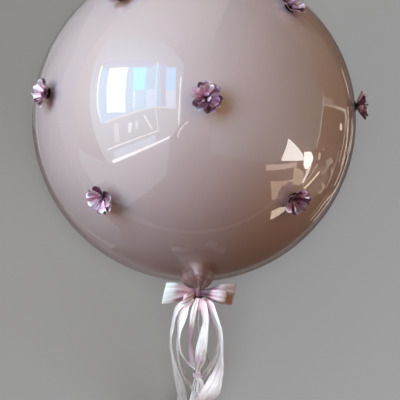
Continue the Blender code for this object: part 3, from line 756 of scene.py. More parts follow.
madeRibbons = {}
for seed, (name, values) in enumerate(ribbons.items()):
    rows = []
    for reach, x, lift, share, roll in curveThrough(values["route"], drop["rows"]):
        tied = any(abs(row[0] - tie["reach"]) < tie["near"] for row in values["route"])
        fromTie = abs(reach - tie["reach"]) if tied else 1.0
        free = looseness(reach, drop) * looseness(fromTie, tie)
        point = dropAt(reach, lift) + Vector((x, 0, 0))
        rows.append((point, values["width"] * min(share, 1.0), roll, free))
    ribbon, length = ribbonMesh(name, rows, Vector((1, 0, 0)), values["flat"], values["lies"], seed)
    dress(ribbon, satinFor(values["satin"], values["flat"]), "white_satin", values["node"])
    madeRibbons[name] = (ribbon, values["flat"], length)
print("ribbon ends made:", len(madeRibbons))


# ---- bows and ties


bowValues = {
    "rows": 44,
    "wrapLength": 0.007,
    "loopOpens": 0.020,
    "puckerDepth": 0.0030,
    "foldDepth": 0.0013,
    "slant": 0.22,
    "across": 28,
    "wander": 5.0,
}


def towards(degrees):
    return Vector((math.cos(math.radians(degrees)), math.sin(math.radians(degrees)), 0))


def loopRows(reach, heading, front, back, lean, layers, halfKnot, halfFull, upwards):
    rows = []
    for k in range(bowValues["rows"]):
        t = k / (bowValues["rows"] - 1)
        share = (1 - math.cos(2 * math.pi * t)) / 2
        out = reach * share
        swell = 1.54 * math.sin(2 * math.pi * t) * share
        if not upwards:
            swell = -swell
        height = swell * (front if swell > 0 else back) * smoothStep(out / bowValues["loopOpens"])
        past = out - bowValues["wrapLength"] / 2
        height += lean * max(0.0, past) + layers[0] + (layers[1] - layers[0]) * t
        spread = smoothStep(past / (0.75 * reach))
        width = 2 * (halfKnot + (halfFull - halfKnot) * spread)
        rows.append((knot + towards(heading) * out + Vector((0, 0, height)), width, 0.0, spread))
    return rows


def bow(name, left, right, base, flat, seed):
    down, middle, up = base - layerStep, base, base + layerStep
    rows = loopRows(**left, layers=(middle, down), upwards=True)
    rows += loopRows(**right, layers=(down, up), upwards=False)[1:]
    return ribbonMesh(
        name,
        rows,
        Vector((bowValues["slant"], 1, 0)).normalized(),
        flat,
        "open",
        seed,
        count=bowValues["across"],
        pleatCap=bowValues["puckerDepth"],
        wander=bowValues["wander"],
        folds=bowValues["foldDepth"],
        loops=True,
    )


bowFlat = {"back": 0.031, "front": 0.017}  # the two ribbons' own widths
wide = {"front": 0.0015, "back": 0.011, "lean": 0.0, "halfKnot": 0.0048, "halfFull": 0.0155}
small = {"front": 0.008, "back": 0.001, "lean": 0.22, "halfKnot": 0.0036}
bowBack, backLength = bow(
    "bowBack",
    {"reach": 0.049, "heading": 181, **wide},
    {"reach": 0.053, "heading": -3, **wide},
    0.0,
    bowFlat["back"],
    11,
)
bowFront, frontLength = bow(
    "bowFront",
    {"reach": 0.025, "heading": 208, "halfFull": 0.0070, **small},
    {"reach": 0.042, "heading": -9, "halfFull": 0.0085, **small},
    3 * layerStep,
    bowFlat["front"],
    12,
)
dress(bowBack, satinFor("bowLitAndShadedSatin", bowFlat["back"]), "pink_satin", "bow_back")
dress(bowFront, satinFor("loopLitAndShadedSatin", bowFlat["front"]), "pink_satin", "bow_front")


def wrapBand(name, middle, axis, across, halfAcross, halfDeep, thickness, length, corner, ridges, waist):
    # a ribbon wound round something: a rounded outline carried along axis, pinched to waist at its middle
    deep = axis.cross(across).normalized()
    mesh = bmesh.new()
    uvLayer = mesh.loops.layers.uv.new("ribbonMap")
    steps, turns = 14, 48
    grid = []
    for i in range(steps + 1):
        v = i / steps
        end = (v - 0.5) * length
        swell = thickness * (0.55 + 0.35 * math.sin(ridges * math.pi * 2 * v))
        line = []
        for k in range(turns):
            turn = 2 * math.pi * (k + 0.5) / turns
            bend = corner + swell
            a = math.copysign(halfAcross - corner, math.cos(turn)) + bend * math.cos(turn)
            b = math.copysign(halfDeep - corner, math.sin(turn)) + bend * math.sin(turn)
            along = end * (1 - waist * (0.5 + 0.5 * math.cos(2 * turn)))
            line.append(mesh.verts.new(middle + across * a + deep * b + axis * along))
        grid.append(line)
    for i in range(steps):
        for k in range(turns):
            j = (k + 1) % turns
            quad = mesh.faces.new((grid[i][k], grid[i][j], grid[i + 1][j], grid[i + 1][k]))
            for loop, (kk, ii) in zip(quad.loops, ((k, i), (k + 1, i), (k + 1, i + 1), (k, i + 1))):
                loop[uvLayer].uv = (ii / steps, kk / 8)
    return asSheet(name, mesh, -1)


bands = {
    "bowWrap": {"halfAcross": 0.0058, "halfDeep": 0.0045, "thickness": 0.001, "length": 0.0046,
                "corner": 0.0015, "ridges": 2, "waist": 0.3},
    "neckTie": {"halfAcross": 0.0073, "halfDeep": 0.0073, "thickness": 0.0014, "length": 0.005,
                "corner": 0.0073, "ridges": 2, "waist": 0.0},
    "lowerTie": {"halfAcross": 0.0065, "halfDeep": 0.0032, "thickness": 0.001, "length": 0.013,
                 "corner": 0.002, "ridges": 3, "waist": 0.15},
}
bandFlat = 0.008
xAxis, yAxis = Vector((1, 0, 0)), Vector((0, 1, 0))
tieRun = Vector((0, -1, fall(tie["reach"])[1])).normalized()
wrapMiddle = knot + Vector((0, 0, 1.5 * layerStep))
tieMiddle = dropAt(tie["reach"], 0) + Vector((tie["x"], 0, 0))
bowWrap = wrapBand("bowWrap", wrapMiddle, xAxis, yAxis, **bands["bowWrap"])
neckTie = wrapBand("neckTie", neckKnot, neckTurn @ yAxis, neckTurn @ xAxis, **bands["neckTie"])
lowerTie = wrapBand("lowerTie", tieMiddle, tieRun, xAxis, **bands["lowerTie"])
# the two knot wraps wear painted shade
dress(bowWrap, satinFor("plumKnotShadeSatin", bandFlat), "pink_satin", "bow_wrap")
dress(neckTie, satinFor("plumKnotShadeSatin", bandFlat), "pink_satin", "neck_tie")
dress(lowerTie, satinFor("lilacSatin", bandFlat), "pink_satin", "lower_tie")

print("bows and ties made")


# ---- the latex balloon, sealed inside


latexValues = {
    "radius": 0.2448,
    "centre": (0.0000, 0.0034, 0.2462),
    "segments": 128,
    "rings": 80,
    "neckFrom": 5.0,  # degrees round the neck
    "neckRows": (
        (0.2466, 0.0150), (0.2480, 0.0105), (0.2505, 0.0076), (0.2540, 0.0060), (0.2580, 0.0050),
        (0.2605, 0.0056), (0.2635, 0.0045),
    ),
}


def balloonShell(name, values):
    # a sphere with its neck drawn out of the lower pole by repeated extrusion
    radius, segments, rings = values["radius"], values["segments"], values["rings"]
    bpy.ops.object.select_all(action="DESELECT")
    bpy.ops.mesh.primitive_uv_sphere_add(segments=segments, ring_count=rings, radius=radius)
    made = bpy.context.object
    made.name = name
    limit = -radius * math.cos(math.radians(values["neckFrom"]))
    bpy.ops.object.mode_set(mode="EDIT")
    mesh = bmesh.from_edit_mesh(made.data)
    cap = [v for v in mesh.verts if v.co.z < limit]
    bmesh.ops.delete(mesh, geom=cap, context="VERTS")
    rim = [e for e in mesh.edges if e.is_boundary]
    for v in mesh.verts:
        v.select = False
    for e in rim:
        e.select = True
    bmesh.update_edit_mesh(made.data)
    ring = [v for e in rim for v in e.verts]
    height, wide = ring[0].co.z, math.hypot(ring[0].co.x, ring[0].co.y)
    bpy.ops.mesh.select_mode(type="EDGE")
    for out, size in values["neckRows"]:  # (out from the middle, half width)
        bpy.ops.mesh.extrude_region_move(TRANSFORM_OT_translate={"value": (0, 0, -out - height)})
        share = size / wide
        bpy.ops.transform.resize(value=(share, share, 1), center_override=made.location[:])
        height, wide = -out, size
    bpy.ops.mesh.edge_face_add()
    bpy.ops.object.mode_set(mode="OBJECT")
    return made


def placeShell(made, middle, turn):
    poleToNeck = Matrix.Rotation(math.radians(-90), 3, "X")  # -Z pole to -Y
    made.matrix_world = Matrix.Translation(middle) @ (turn @ poleToNeck).to_4x4()
    applyPlace(made)


latex = balloonShell("latexBalloon", latexValues)
placeShell(latex, Vector(latexValues["centre"]), neckTurn)
recalculate(latex)
smoothUnder(latex, 60)
dress(latex, latexMaterial, "latex")
print("latex balloon made")


# ---- the clear bubble


filmValues = {
    "radius": balloon["radius"],
    "segments": 160,
    "rings": 96,
    "neckFrom": 6.2,
    "neckRows": (
        (0.2500, 0.0250), (0.2530, 0.0249), (0.2560, 0.0247), (0.2595, 0.0247), (0.2630, 0.0245),
        (0.2665, 0.0236), (0.2695, 0.0222), (0.2725, 0.0194), (0.2755, 0.0160), (0.2780, 0.0126),
        (0.2805, 0.0095), (0.2840, 0.0076), (0.2880, 0.0070), (0.2960, 0.0070), (0.2985, 0.0063),
    ),
    "pleatsFrom": 0.246,
    "pleatsOver": 0.032,  # metres until they are fully deep
    "pleats": 10,
    "pleatDepth": 0.14,
    "finePleats": 23,
    "fineDepth": 0.03,
    "thickness": 0.0003,
}

film = balloonShell("bubbleFilm", filmValues)
for vertex in film.data.vertices:
    out = -vertex.co.z
    if out < filmValues["pleatsFrom"]:
        continue
    turn = math.atan2(vertex.co.y, vertex.co.x)
    tight = smoothStep((out - filmValues["pleatsFrom"]) / filmValues["pleatsOver"])
    lobe = math.cos(filmValues["pleats"] * turn + 1.3 * math.sin(2 * turn) + (out - 0.25) * 30)
    fine = math.cos(filmValues["finePleats"] * turn + 2 * math.sin(3 * turn + 1))
    share = 1 - filmValues["pleatDepth"] * tight * (0.5 - 0.5 * lobe)
    share -= filmValues["fineDepth"] * tight * (0.5 + 0.5 * fine)
    vertex.co.x *= share
    vertex.co.y *= share
placeShell(film, centre, neckTurn)
pickOnly(film)
bpy.ops.object.mode_set(mode="EDIT")
bpy.ops.mesh.select_all(action="SELECT")
bpy.ops.mesh.bisect(plane_co=(0, 0, 0.00001), plane_no=(0, 0, -1), use_fill=True, clear_outer=True)
bpy.ops.object.mode_set(mode="OBJECT")
recalculate(film)
addModifier(film, "SOLIDIFY", thickness=filmValues["thickness"], offset=-1)
smoothUnder(film, 60)
dress(film, filmMaterial, "bubble_film", "bubble")
film.data.materials.append(bunchedMaterial)
for face in film.data.polygons:
    if (face.center - neckKnot).length < bunchedValues["within"]:
        face.material_index = 1
film.visible_shadow = False
film.visible_diffuse = False
print("bubble made")


# ---- flowers


flowerValues = {
    "gap": 0.0003,
    "turn": 23.0,
    "steps": 9,
    "columns": ("count", "start", "length", "spread", "base", "rise", "cup"),  # spread and start in degrees
    "layers": (
        (6, 30, 0.0226, 30, 0.0018, 0.0102, 0.0050),
        (6, 0, 0.0178, 31, 0.0028, 0.0136, 0.0048),
        (3, 15, 0.0064, 44, 0.0036, 0.0052, 0.0016),
    ),
    "shoulder": 0.26,  # the two shares of a petal's length that its sides and its notch lose
    "notch": 0.15,
    "belly": 0.0012,  # metres, as the next three
    "crease": 0.0020,
    "ripple": 0.0005,
    "curl": 0.0013,
    "tilt": 9.0,
    "thickness": 0.0004,
    "foot": {"vertices": 24, "radius1": 0.0085, "radius2": 0.004, "depth": 0.0026},
}


def petal(values, angle, seed):
    # a rounded, cupped petal with a notch at its tip and a crease down the middle
    bpy.ops.object.select_all(action="DESELECT")
    shape = flowerValues
    bpy.ops.mesh.primitive_grid_add(x_subdivisions=shape["steps"], y_subdivisions=shape["steps"], size=1)
    made = bpy.context.object
    shift = Vector([noise.noise(Vector((seed * 3.71, 1.3 + 4.7 * k, 0.2 + 2.3 * k))) for k in range(3)])
    phase = 9 * noise.noise(Vector((seed * 1.93, 7.7, 4.1)))
    paintedShade = 0.56 + 1.1 * noise.noise(Vector((seed * 2.57, 3.1, 8.3)))
    lean = math.copysign(0.36, phase)  # painted light: one half of the petal lighter, as if it caught more light
    paintedShades = made.data.attributes.new("paintedPetalShade", "FLOAT", "POINT")
    for vertex in made.data.vertices:
        u, v = vertex.co.x * 2, vertex.co.y + 0.5  # across -1 to 1, along 0 to 1
        tip = 1 - shape["shoulder"] * abs(u) ** 3.2 - shape["notch"] * math.exp(-((u / 0.20) ** 2))
        reach = values["length"] * v * (1 + (tip - 1) * v * v) + 0.0010
        turn = math.radians(values["spread"]) * u * (0.45 + 0.55 * smoothStep(v / 0.55))
        rise = values["rise"] * (0.25 * v + 1.0 * v * v - 0.25 * v ** 4)
        rise += values["cup"] * (abs(u) ** 1.6) * v * (1 - 0.35 * v)
        rise += shape["belly"] * math.sin(math.pi * min(abs(u) * 1.15, 1)) * v
        rise -= shape["crease"] * math.exp(-((u / 0.16) ** 2)) * v
        rise += shape["ripple"] * math.sin(9 * u + phase) * v * v
        rise -= shape["curl"] * smoothStep((v - 0.80) / 0.20)
        vertex.co = (math.sin(turn) * reach, math.cos(turn) * reach, rise)
        paintedShades.data[vertex.index].value = paintedShade + lean * u
    tilt = Matrix.Rotation(math.radians(shape["tilt"] * 1.6 * shift.z), 4, "X")
    roll = Matrix.Rotation(math.radians(shape["tilt"] * 2.2 * shift.y), 4, "Y")
    turned = Matrix.Rotation(math.radians(angle + 9 * shift.x), 4, "Z")
    made.data.transform(turned @ Matrix.Translation((0, 0, values["base"])) @ tilt @ roll)
    made.data.uv_layers[0].name = "petalMap"
    return made


def flower(number, latitude, longitude):
    petals = []
    for layer, sizes in enumerate(flowerValues["layers"]):
        values = dict(zip(flowerValues["columns"], sizes))
        for k in range(values["count"]):
            angle = values["start"] + 360 * k / values["count"]
            petals.append(petal(values, angle, number * 31 + layer * 7 + k))
    bpy.ops.object.select_all(action="DESELECT")
    for piece in petals:
        piece.select_set(True)
    bpy.context.view_layer.objects.active = petals[0]
    bpy.ops.object.join()
    made = bpy.context.object
    made.name = f"flower{number:02d}"
    addModifier(made, "SOLIDIFY", thickness=flowerValues["thickness"], offset=0)
    addModifier(made, "SUBSURF", levels=1, render_levels=1)
    # the glued foot under the petals
    bpy.ops.object.select_all(action="DESELECT")
    footMiddle = (0, 0, flowerValues["foot"]["depth"] / 2)
    bpy.ops.mesh.primitive_cone_add(location=footMiddle, **flowerValues["foot"])
    applyPlace(bpy.context.object)
    made.select_set(True)
    bpy.context.view_layer.objects.active = made
    bpy.ops.object.join()
    up, side = math.radians(latitude), math.radians(longitude)
    away = Vector((math.cos(up) * math.sin(side), math.sin(up), math.cos(up) * math.cos(side)))
    place = Matrix.Translation(centre + away * (balloon["radius"] + flowerValues["gap"]))
    turn = Matrix.Rotation(math.radians(flowerValues["turn"] * number), 4, "Z")
    made.matrix_world = place @ away.to_track_quat("Z", "Y").to_matrix().to_4x4() @ turn
    applyPlace(made)
    smoothUnder(made, 70)
    return dress(made, petalMaterial, "petal", f"flower_{number:02d}")


flowerPlaces = (  # degrees up from the middle and round to the right
    (38.0, -31.0), (34.5, 42.5), (37.0, 112.0), (35.0, -162.0), (37.5, -112.0),
    (4.5, -58.5), (-2.0, 4.0), (3.5, 79.5), (0.0, 147.0), (3.0, -130.0),
    (-33.0, -37.5), (-33.0, 43.0), (-34.0, 133.0), (-32.0, -127.0),
)
flowers = [flower(number, *place) for number, place in enumerate(flowerPlaces, 1)]
print("flowers made:", len(flowers))


# ---- floor and lights


floorSize = 80.0
bpy.ops.object.select_all(action="DESELECT")
bpy.ops.mesh.primitive_plane_add(size=floorSize, location=(0, 0, 0))
floor = bpy.context.object
floor.name = "studioFloor"
floor.data.materials.append(floorMaterial)
floor.visible_diffuse = False  # the real balloon hangs clear of any floor


def lampMaterial(name, colour, strength, fade=None):
    material = bpy.data.materials.new(name)
    material.use_nodes = True
    tree = material.node_tree
    tree.nodes.clear()
    if fade:
        across, start, end = fade  # full at start and nothing at end, in metres across the card
        spot = node(tree, "ShaderNodeTexCoord", (-900, 0)).outputs["Object"]
        reach = maths(tree, "DOT_PRODUCT", (-700, 0), spot, across, kind="ShaderNodeVectorMath")
        span = {"From_Min": start, "From_Max": end, "To_Min": strength, "To_Max": 0.0, "Value": reach}
        fading = node(tree, "ShaderNodeMapRange", (-450, 0), interpolation_type="SMOOTHSTEP", **span)
        strength = fading.outputs["Result"]
    glow = node(tree, "ShaderNodeEmission", Color=(*colour, 1), Strength=strength)
    node(tree, "ShaderNodeOutputMaterial", (300, 0), Surface=glow.outputs[0])
    return material


def card(name, corners, colour, strength, fade=None):
    # a flat glowing card that shows only in gloss
    data = bpy.data.meshes.new(name)
    data.from_pydata(corners, [], [list(range(len(corners)))])
    made = bpy.data.objects.new(name, data)
    bpy.context.scene.collection.objects.link(made)
    made.data.materials.append(lampMaterial(name, colour, strength, fade))
    made.visible_camera = False
    made.visible_shadow = False
    made.visible_diffuse = False
    return made


def wallCard(name, plane, points, colour, strength, fade=None):
    # points are (across, up) in metres on a wall that faces the balloon
    away = Vector(plane["direction"]).normalized()
    up = (yAxis - away * yAxis.dot(away)).normalized()
    right = up.cross(away)
    spot = centre + away * plane["distance"]
    return card(name, [spot + right * a + up * b for a, b in points], colour, strength, fade)


windowWall = {"direction": (-0.617, 0.2545, 0.7457), "distance": 2.2}
windowCards = {
    "windowWhite": (((-0.75, -0.58), (-0.20, -0.64), (-0.21, 0.42), (-0.75, 0.46)), (1.0, 1.0, 0.97), 7.0),
    "windowFrame": (((-1.11, -0.40), (-1.06, -0.38), (-1.03, 0.56), (-1.08, 0.58)), (0.86, 0.95, 1.0), 7.0),
    "windowFoot": (
        ((-1.04, -0.80), (-1.01, -0.80), (-1.05, -0.38), (-1.12, -0.40)), (0.66, 0.84, 1.0), 5.5,
    ),
    "windowBlue": (((0.03, -0.12), (0.32, -0.12), (0.27, 0.41), (-0.06, 0.41)), (0.0, 0.80, 1.0), 6.2),
    "windowBlueLow": (((0.05, -0.57), (0.34, -0.57), (0.32, -0.12), (0.03, -0.12)), (0.24, 0.73, 1.0), 3.7),
    "windowLilac": (((0.34, -0.10), (0.57, -0.10), (0.51, 0.42), (0.29, 0.41)), (0.19, 0.70, 1.0), 3.4),
    "windowLilacLow": (
        ((0.37, -0.58), (0.62, -0.58), (0.57, -0.10), (0.34, -0.10)), (0.44, 0.74, 1.0), 4.6,
    ),
    "windowBar": (((0.02, -0.56), (0.06, -0.56), (0.06, -0.14), (0.02, -0.14)), (0.70, 0.90, 1.0), 6.2),
    "windowRight": (((0.86, -0.12), (1.15, -0.10), (1.06, 0.52), (0.77, 0.48)), (0.15, 0.53, 1.0), 6.0),
    "windowRightLow": (
        ((0.93, -0.62), (1.23, -0.62), (1.15, -0.10), (0.86, -0.12)), (0.58, 0.76, 1.0), 4.6,
    ),
    "windowPost": (((0.69, -1.24), (0.705, -1.24), (0.530, 0.60), (0.510, 0.60)), (0.94, 0.96, 1.0), 5.0),
    "windowEdge": (((1.37, -1.14), (1.42, -1.14), (1.26, 0.30), (1.23, 0.30)), (0.96, 0.98, 1.0), 5.6),
    "windowHook": (
        ((1.78, -1.08), (1.63, -1.13), (1.54, -1.23), (1.46, -1.33), (1.40, -1.44), (1.38, -1.56),
        (1.41, -1.68), (1.44, -1.68), (1.43, -1.56), (1.45, -1.46), (1.50, -1.37), (1.58, -1.27),
        (1.65, -1.17), (1.79, -1.12)), (1.0, 0.98, 1.0), 3.6,
    ),
    "windowLine": (
        ((-0.93, -0.86), (0.50, -0.60), (1.33, -0.58), (1.33, -0.55), (0.50, -0.55), (-0.92, -0.80)),
        (0.84, 0.94, 1.0), 3.0,
    ),
    "streakOne": (((-0.60, -0.88), (-0.44, -0.90), (-0.56, -1.46), (-0.74, -1.44)), (1.0, 0.96, 0.98), 2.5),
    "streakTwo": (((-0.15, -0.90), (-0.04, -0.92), (-0.12, -1.20), (-0.21, -1.18)), (1.0, 0.97, 0.98), 4.0),
    "streakThree": (((0.05, -0.88), (0.14, -0.89), (0.10, -1.12), (0.02, -1.11)), (1.0, 0.97, 0.98), 2.8),
    "streakFour": (((0.28, -0.75), (0.33, -0.76), (0.55, -1.17), (0.50, -1.18)), (1.0, 0.98, 1.0), 4.2),
    "sillLine": (((-1.17, -1.69), (0.72, -1.27), (0.72, -1.235), (-1.17, -1.64)), (0.97, 0.98, 1.0), 4.6),
    "sillBar": (((-1.21, -2.26), (1.10, -1.60), (1.10, -1.52), (-1.21, -2.10)), (0.97, 0.99, 1.0), 6.0),
    "sillGlow": (((-0.95, -2.03), (0.60, -1.62), (0.60, -1.38), (-0.95, -1.76)), (0.62, 0.84, 1.0), 3.2),
    "windowField": (
        ((-1.08, -0.86), (0.55, -0.58), (0.80, -0.60), (0.62, 0.52), (-1.00, 0.58)), (0.19, 0.69, 1.0), 3.2,
    ),
    "windowBand": (((-1.00, 0.44), (0.42, 0.44), (0.40, 0.58), (-1.02, 0.66)), (0.42, 0.55, 1.0), 1.3),
    "windowGap": (((0.60, -0.60), (0.93, -0.60), (0.78, 0.56), (0.56, 0.58)), (0.48, 0.57, 1.0), 2.1),
    "wallPale": (
        ((-1.50, -2.35), (1.00, -1.85), (1.50, -1.14), (1.30, 0.70), (0.76, 1.15), (-1.25, 1.75),
        (-1.42, 0.9)), (0.80, 1.0, 1.0), 1.35,
    ),
    "wallBelow": (
        ((-1.56, -2.22), (1.14, -1.73), (0.90, -3.9), (-4.6, -9.0), (-5.2, -6.0), (-4.6, -3.2),
        (-3.0, -1.6)), (0.86, 0.95, 1.0), 0.75,
    ),
}
windowBehind = {  # metres behind the rest
    "windowField": 0.02, "windowBand": 0.02, "windowGap": 0.03, "wallPale": 0.05, "wallBelow": 0.05,
}
for name, (points, colour, strength) in windowCards.items():
    plane = {**windowWall, "distance": windowWall["distance"] + windowBehind.get(name, 0.0)}
    fade = ((0.162, 0.967, -0.196), -0.6, 2.7) if name == "wallPale" else None  # dimmer towards its top
    wallCard(name, plane, points, colour, strength, fade)

sunWall = {"direction": (0.86, -0.42, 0.28), "distance": 2.2}
sunCards = {
    "sunPatch": (((-0.18, -0.04), (0.57, 0.16), (0.43, 0.26), (-0.18, 0.46)), (1.0, 0.98, 0.95), 7.0),
    "sunBright": (
        ((0.58, 0.08), (0.86, -0.06), (0.90, -0.02), (0.90, 0.27), (0.70, 0.36), (0.46, 0.31)),
        (1.0, 0.98, 0.95), 8.5,
    ),
    "shelfOne": (((-0.44, -0.38), (0.38, -0.02), (0.33, 0.07), (-0.52, -0.26)), (1.0, 0.78, 0.70), 2.6),
    "shelfTwo": (((0.31, -0.88), (0.90, -0.50), (0.60, -0.22), (-0.13, -0.54)), (1.0, 0.74, 0.52), 2.2),
}
for name, (points, colour, strength) in sunCards.items():
    wallCard(name, sunWall, points, colour, strength)

# cards that stand upright to the right: a pale wall above a table edge, a door frame and a bright shelf
sideCards = {  # across the room at x, with (y, z) corners
    "wallRight": (
        2.6, ((-6.6, 11.6), (-2.8, 3.9), (-1.92, 2.25), (-1.38, 1.34), (-0.97, 0.44), (-0.50, 0.0),
        (1.9, 0.0), (9.0, 0.2), (9.0, 11.6)), (0.22, 0.35, 0.42), 1.0,
    ),
    "doorLine": (
        1.3, ((0.33, 0.142), (0.14, 0.192), (0.01, 0.236), (-0.20, 0.235), (-0.29, 0.220), (-0.29, 0.229),
        (-0.20, 0.246), (0.01, 0.247), (0.14, 0.204), (0.33, 0.152)), (1.0, 0.90, 0.84), 2.6,
    ),
    "swirlWhite": (
        0.6, ((-0.235, 0.318), (-0.260, 0.345), (-0.360, 0.314), (-0.352, 0.292)), (1.0, 0.94, 0.84), 4.5,
    ),
    "swirlGold": (
        0.6, ((-0.235, 0.200), (-0.245, 0.222), (-0.375, 0.262), (-0.370, 0.238)), (1.0, 0.86, 0.64), 4.0,
    ),
    "swirlMiddle": (
        0.6, ((-0.215, 0.266), (-0.220, 0.276), (-0.365, 0.285), (-0.365, 0.276)), (1.0, 0.86, 0.68), 2.4,
    ),
    "swirlPatch": (
        0.6, ((-0.160, 0.305), (-0.160, 0.282), (-0.190, 0.262), (-0.195, 0.290)), (1.0, 0.80, 0.58), 2.4,
    ),
    "wispOne": (
        0.6, ((-0.172, 0.199), (-0.146, 0.148), (-0.154, 0.070), (-0.171, 0.118), (-0.205, 0.128),
        (-0.246, 0.151), (-0.235, 0.190), (-0.200, 0.150)), (1.0, 0.86, 0.78), 0.8,
    ),
    "wispTwo": (
        0.6, ((-0.266, 0.104), (-0.262, 0.010), (-0.307, -0.050), (-0.318, 0.061), (-0.290, 0.030)),
        (1.0, 0.82, 0.68), 1.0,
    ),
    "wispThree": (
        0.6, ((-0.179, 0.091), (-0.178, 0.024), (-0.228, -0.028), (-0.254, 0.003), (-0.215, 0.010)),
        (1.0, 0.84, 0.72), 0.9,
    ),
    "goldPatch": (
        0.605, ((-0.31, 0.47), (-0.30, 0.36), (-0.345, 0.30), (-0.437, 0.33), (-0.40, 0.40)),
        (1.0, 0.80, 0.58), 2.0,
    ),
    "shelfThree": (
        0.6, ((-0.715, 0.31), (-0.56, 0.275), (-0.58, 0.205), (-0.785, 0.195)), (1.0, 0.80, 0.64), 4.2,
    ),
    "swirlGlow": (
        0.61, ((-0.332, 0.423), (-0.251, 0.304), (-0.198, 0.161), (-0.233, 0.031), (-0.341, 0.044),
        (-0.412, 0.113), (-0.399, 0.274)), (1.0, 0.84, 0.72), 0.35,
    ),
}
for name, (x, corners, colour, strength) in sideCards.items():
    fade = ((0, 1, 0.35), 0.0, 3.0) if name == "wallRight" else None
    card(name, [(x, y, z) for y, z in corners], colour, strength, fade)

# dark boards far off, pale cloth close by on the left, and bright edges that run beside the right rim
floorCards = {
    "darkFloor": (
        ((-2.2, -1.15), (-0.67, -0.96), (-0.34, -0.52), (-0.20, -0.23), (-0.10, -0.275), (0.0, -0.29),
        (0.12, -0.265), (0.21, -0.195), (0.275, -0.09), (0.29, 0.05), (0.28, 0.40), (0.20, 7.0), (7.0, 7.0),
        (7.0, -7.0), (-2.2, -7.0)), (0.12, 0.079, 0.064), 1.0,
    ),
    "paleCloth": (
        ((-0.46, 0.60), (-1.40, 0.90), (-1.50, -0.10), (-1.50, -0.75), (-0.70, -0.90), (-0.30, -0.62),
        (-0.36, -0.40), (-0.44, -0.20), (-0.47, 0.0)), (0.17, 0.18, 0.20), 1.0,
    ),
    "rimShade": (
        ((-0.30, 0.06), (-0.31, -0.06), (-0.23, -0.20), (-0.11, -0.28), (-0.02, -0.295), (-0.04, -0.42),
        (-0.18, -0.46), (-0.33, -0.36), (-0.43, -0.20), (-0.43, 0.0)), (0.22, 0.17, 0.175), 1.0,
    ),
    "paleBoards": (
        ((0.55, 0.08), (2.4, 0.36), (7.0, 1.0), (7.0, 7.0), (0.50, 7.0)), (0.22, 0.15, 0.13), 1.0,
    ),
    "boardEnd": (((1.15, 0.15), (2.50, 0.38), (2.30, 0.48), (1.08, 0.21)), (0.66, 0.53, 0.49), 1.0),
    "boardEdge": (((0.59, 0.070), (2.60, 0.36), (2.60, 0.41), (0.59, 0.085)), (1.0, 0.88, 0.80), 1.1),
    "edgeOne": (
        ((0.400, 0.03), (0.408, 0.03), (0.412, -0.05), (0.404, -0.10), (0.378, -0.17), (0.345, -0.255),
        (0.340, -0.25), (0.371, -0.165), (0.397, -0.10), (0.404, -0.05)), (1.0, 0.88, 0.74), 1.7,
    ),
    "edgeTwo": (((0.432, 0.05), (0.440, 0.05), (0.442, -0.06), (0.432, -0.06)), (1.0, 0.86, 0.72), 1.3),
    "edgeThree": (((0.70, -0.01), (0.78, 0.00), (0.77, 0.03), (0.70, 0.02)), (1.0, 0.88, 0.78), 2.4),
    "edgeFour": (((0.585, 0.07), (0.602, 0.07), (0.494, -0.06), (0.482, -0.06)), (1.0, 0.84, 0.68), 1.7),
    "edgeFive": (((0.475, -0.07), (0.490, -0.07), (0.450, -0.17), (0.437, -0.165)), (1.0, 0.86, 0.72), 1.4),
    "edgeSix": (((0.520, -0.02), (0.534, -0.02), (0.502, -0.12), (0.490, -0.12)), (0.9, 0.74, 0.62), 1.0),
    "edgeSeven": (((0.468, 0.21), (0.480, 0.21), (0.468, 0.06), (0.459, 0.06)), (1.0, 0.88, 0.76), 1.7),
    "edgeEight": (
        ((0.420, -0.20), (0.434, -0.20), (0.394, -0.29), (0.384, -0.285)), (0.9, 0.72, 0.60), 0.9,
    ),
    "edgeNine": (((0.470, -0.22), (0.486, -0.215), (0.442, -0.33), (0.430, -0.33)), (0.9, 0.72, 0.60), 0.7),
    "edgeTen": (((0.66, -0.10), (0.69, -0.10), (0.62, -0.20), (0.60, -0.20)), (0.9, 0.72, 0.62), 0.8),
    "rimOne": (
        ((0.614, 0.09), (0.628, 0.09), (0.611, 0.02), (0.602, -0.05), (0.582, -0.125), (0.572, -0.125),
        (0.590, -0.05), (0.598, 0.02)), (1.0, 0.90, 0.82), 1.6,
    ),
    "rimTwo": (
        ((0.532, 0.09), (0.542, 0.09), (0.530, 0.02), (0.524, -0.04), (0.494, -0.11), (0.486, -0.11),
        (0.514, -0.04), (0.520, 0.02)), (1.0, 0.90, 0.82), 2.0,
    ),
    "rimThree": (
        ((0.372, -0.13), (0.382, -0.13), (0.430, -0.23), (0.388, -0.295), (0.378, -0.29), (0.416, -0.23)),
        (1.0, 0.86, 0.74), 1.1,
    ),
    "curlOne": (
        ((0.665, -0.17), (0.684, -0.17), (0.608, -0.212), (0.580, -0.262), (0.568, -0.262), (0.590, -0.21)),
        (1.0, 0.86, 0.76), 1.3,
    ),
}
layers = {"darkFloor": 0.0006, "rimShade": 0.0009, "paleBoards": 0.0009}
for name, (points, colour, strength) in floorCards.items():
    card(name, [(x, y, layers.get(name, 0.0012)) for x, y in points], colour, strength)

lamps = {
    "windowKey": {"direction": (-0.617, 0.2545, 0.7457), "distance": 2.6, "size": (2.5, 1.3), "power": 75.0,
                  "colour": (0.48, 0.76, 1.0)},
    "lowKey": {"direction": (-0.85, 0.1, 0.45), "distance": 2.6, "size": (1.8, 1.8), "power": 25.8,
               "colour": (1.0, 0.767, 0.507)},
    "warmTop": {"direction": (0.45, 0.1, 0.9), "distance": 2.6, "size": (2.0, 2.0), "power": 20.4,
                "colour": (1.0, 0.735, 0.346)},
}


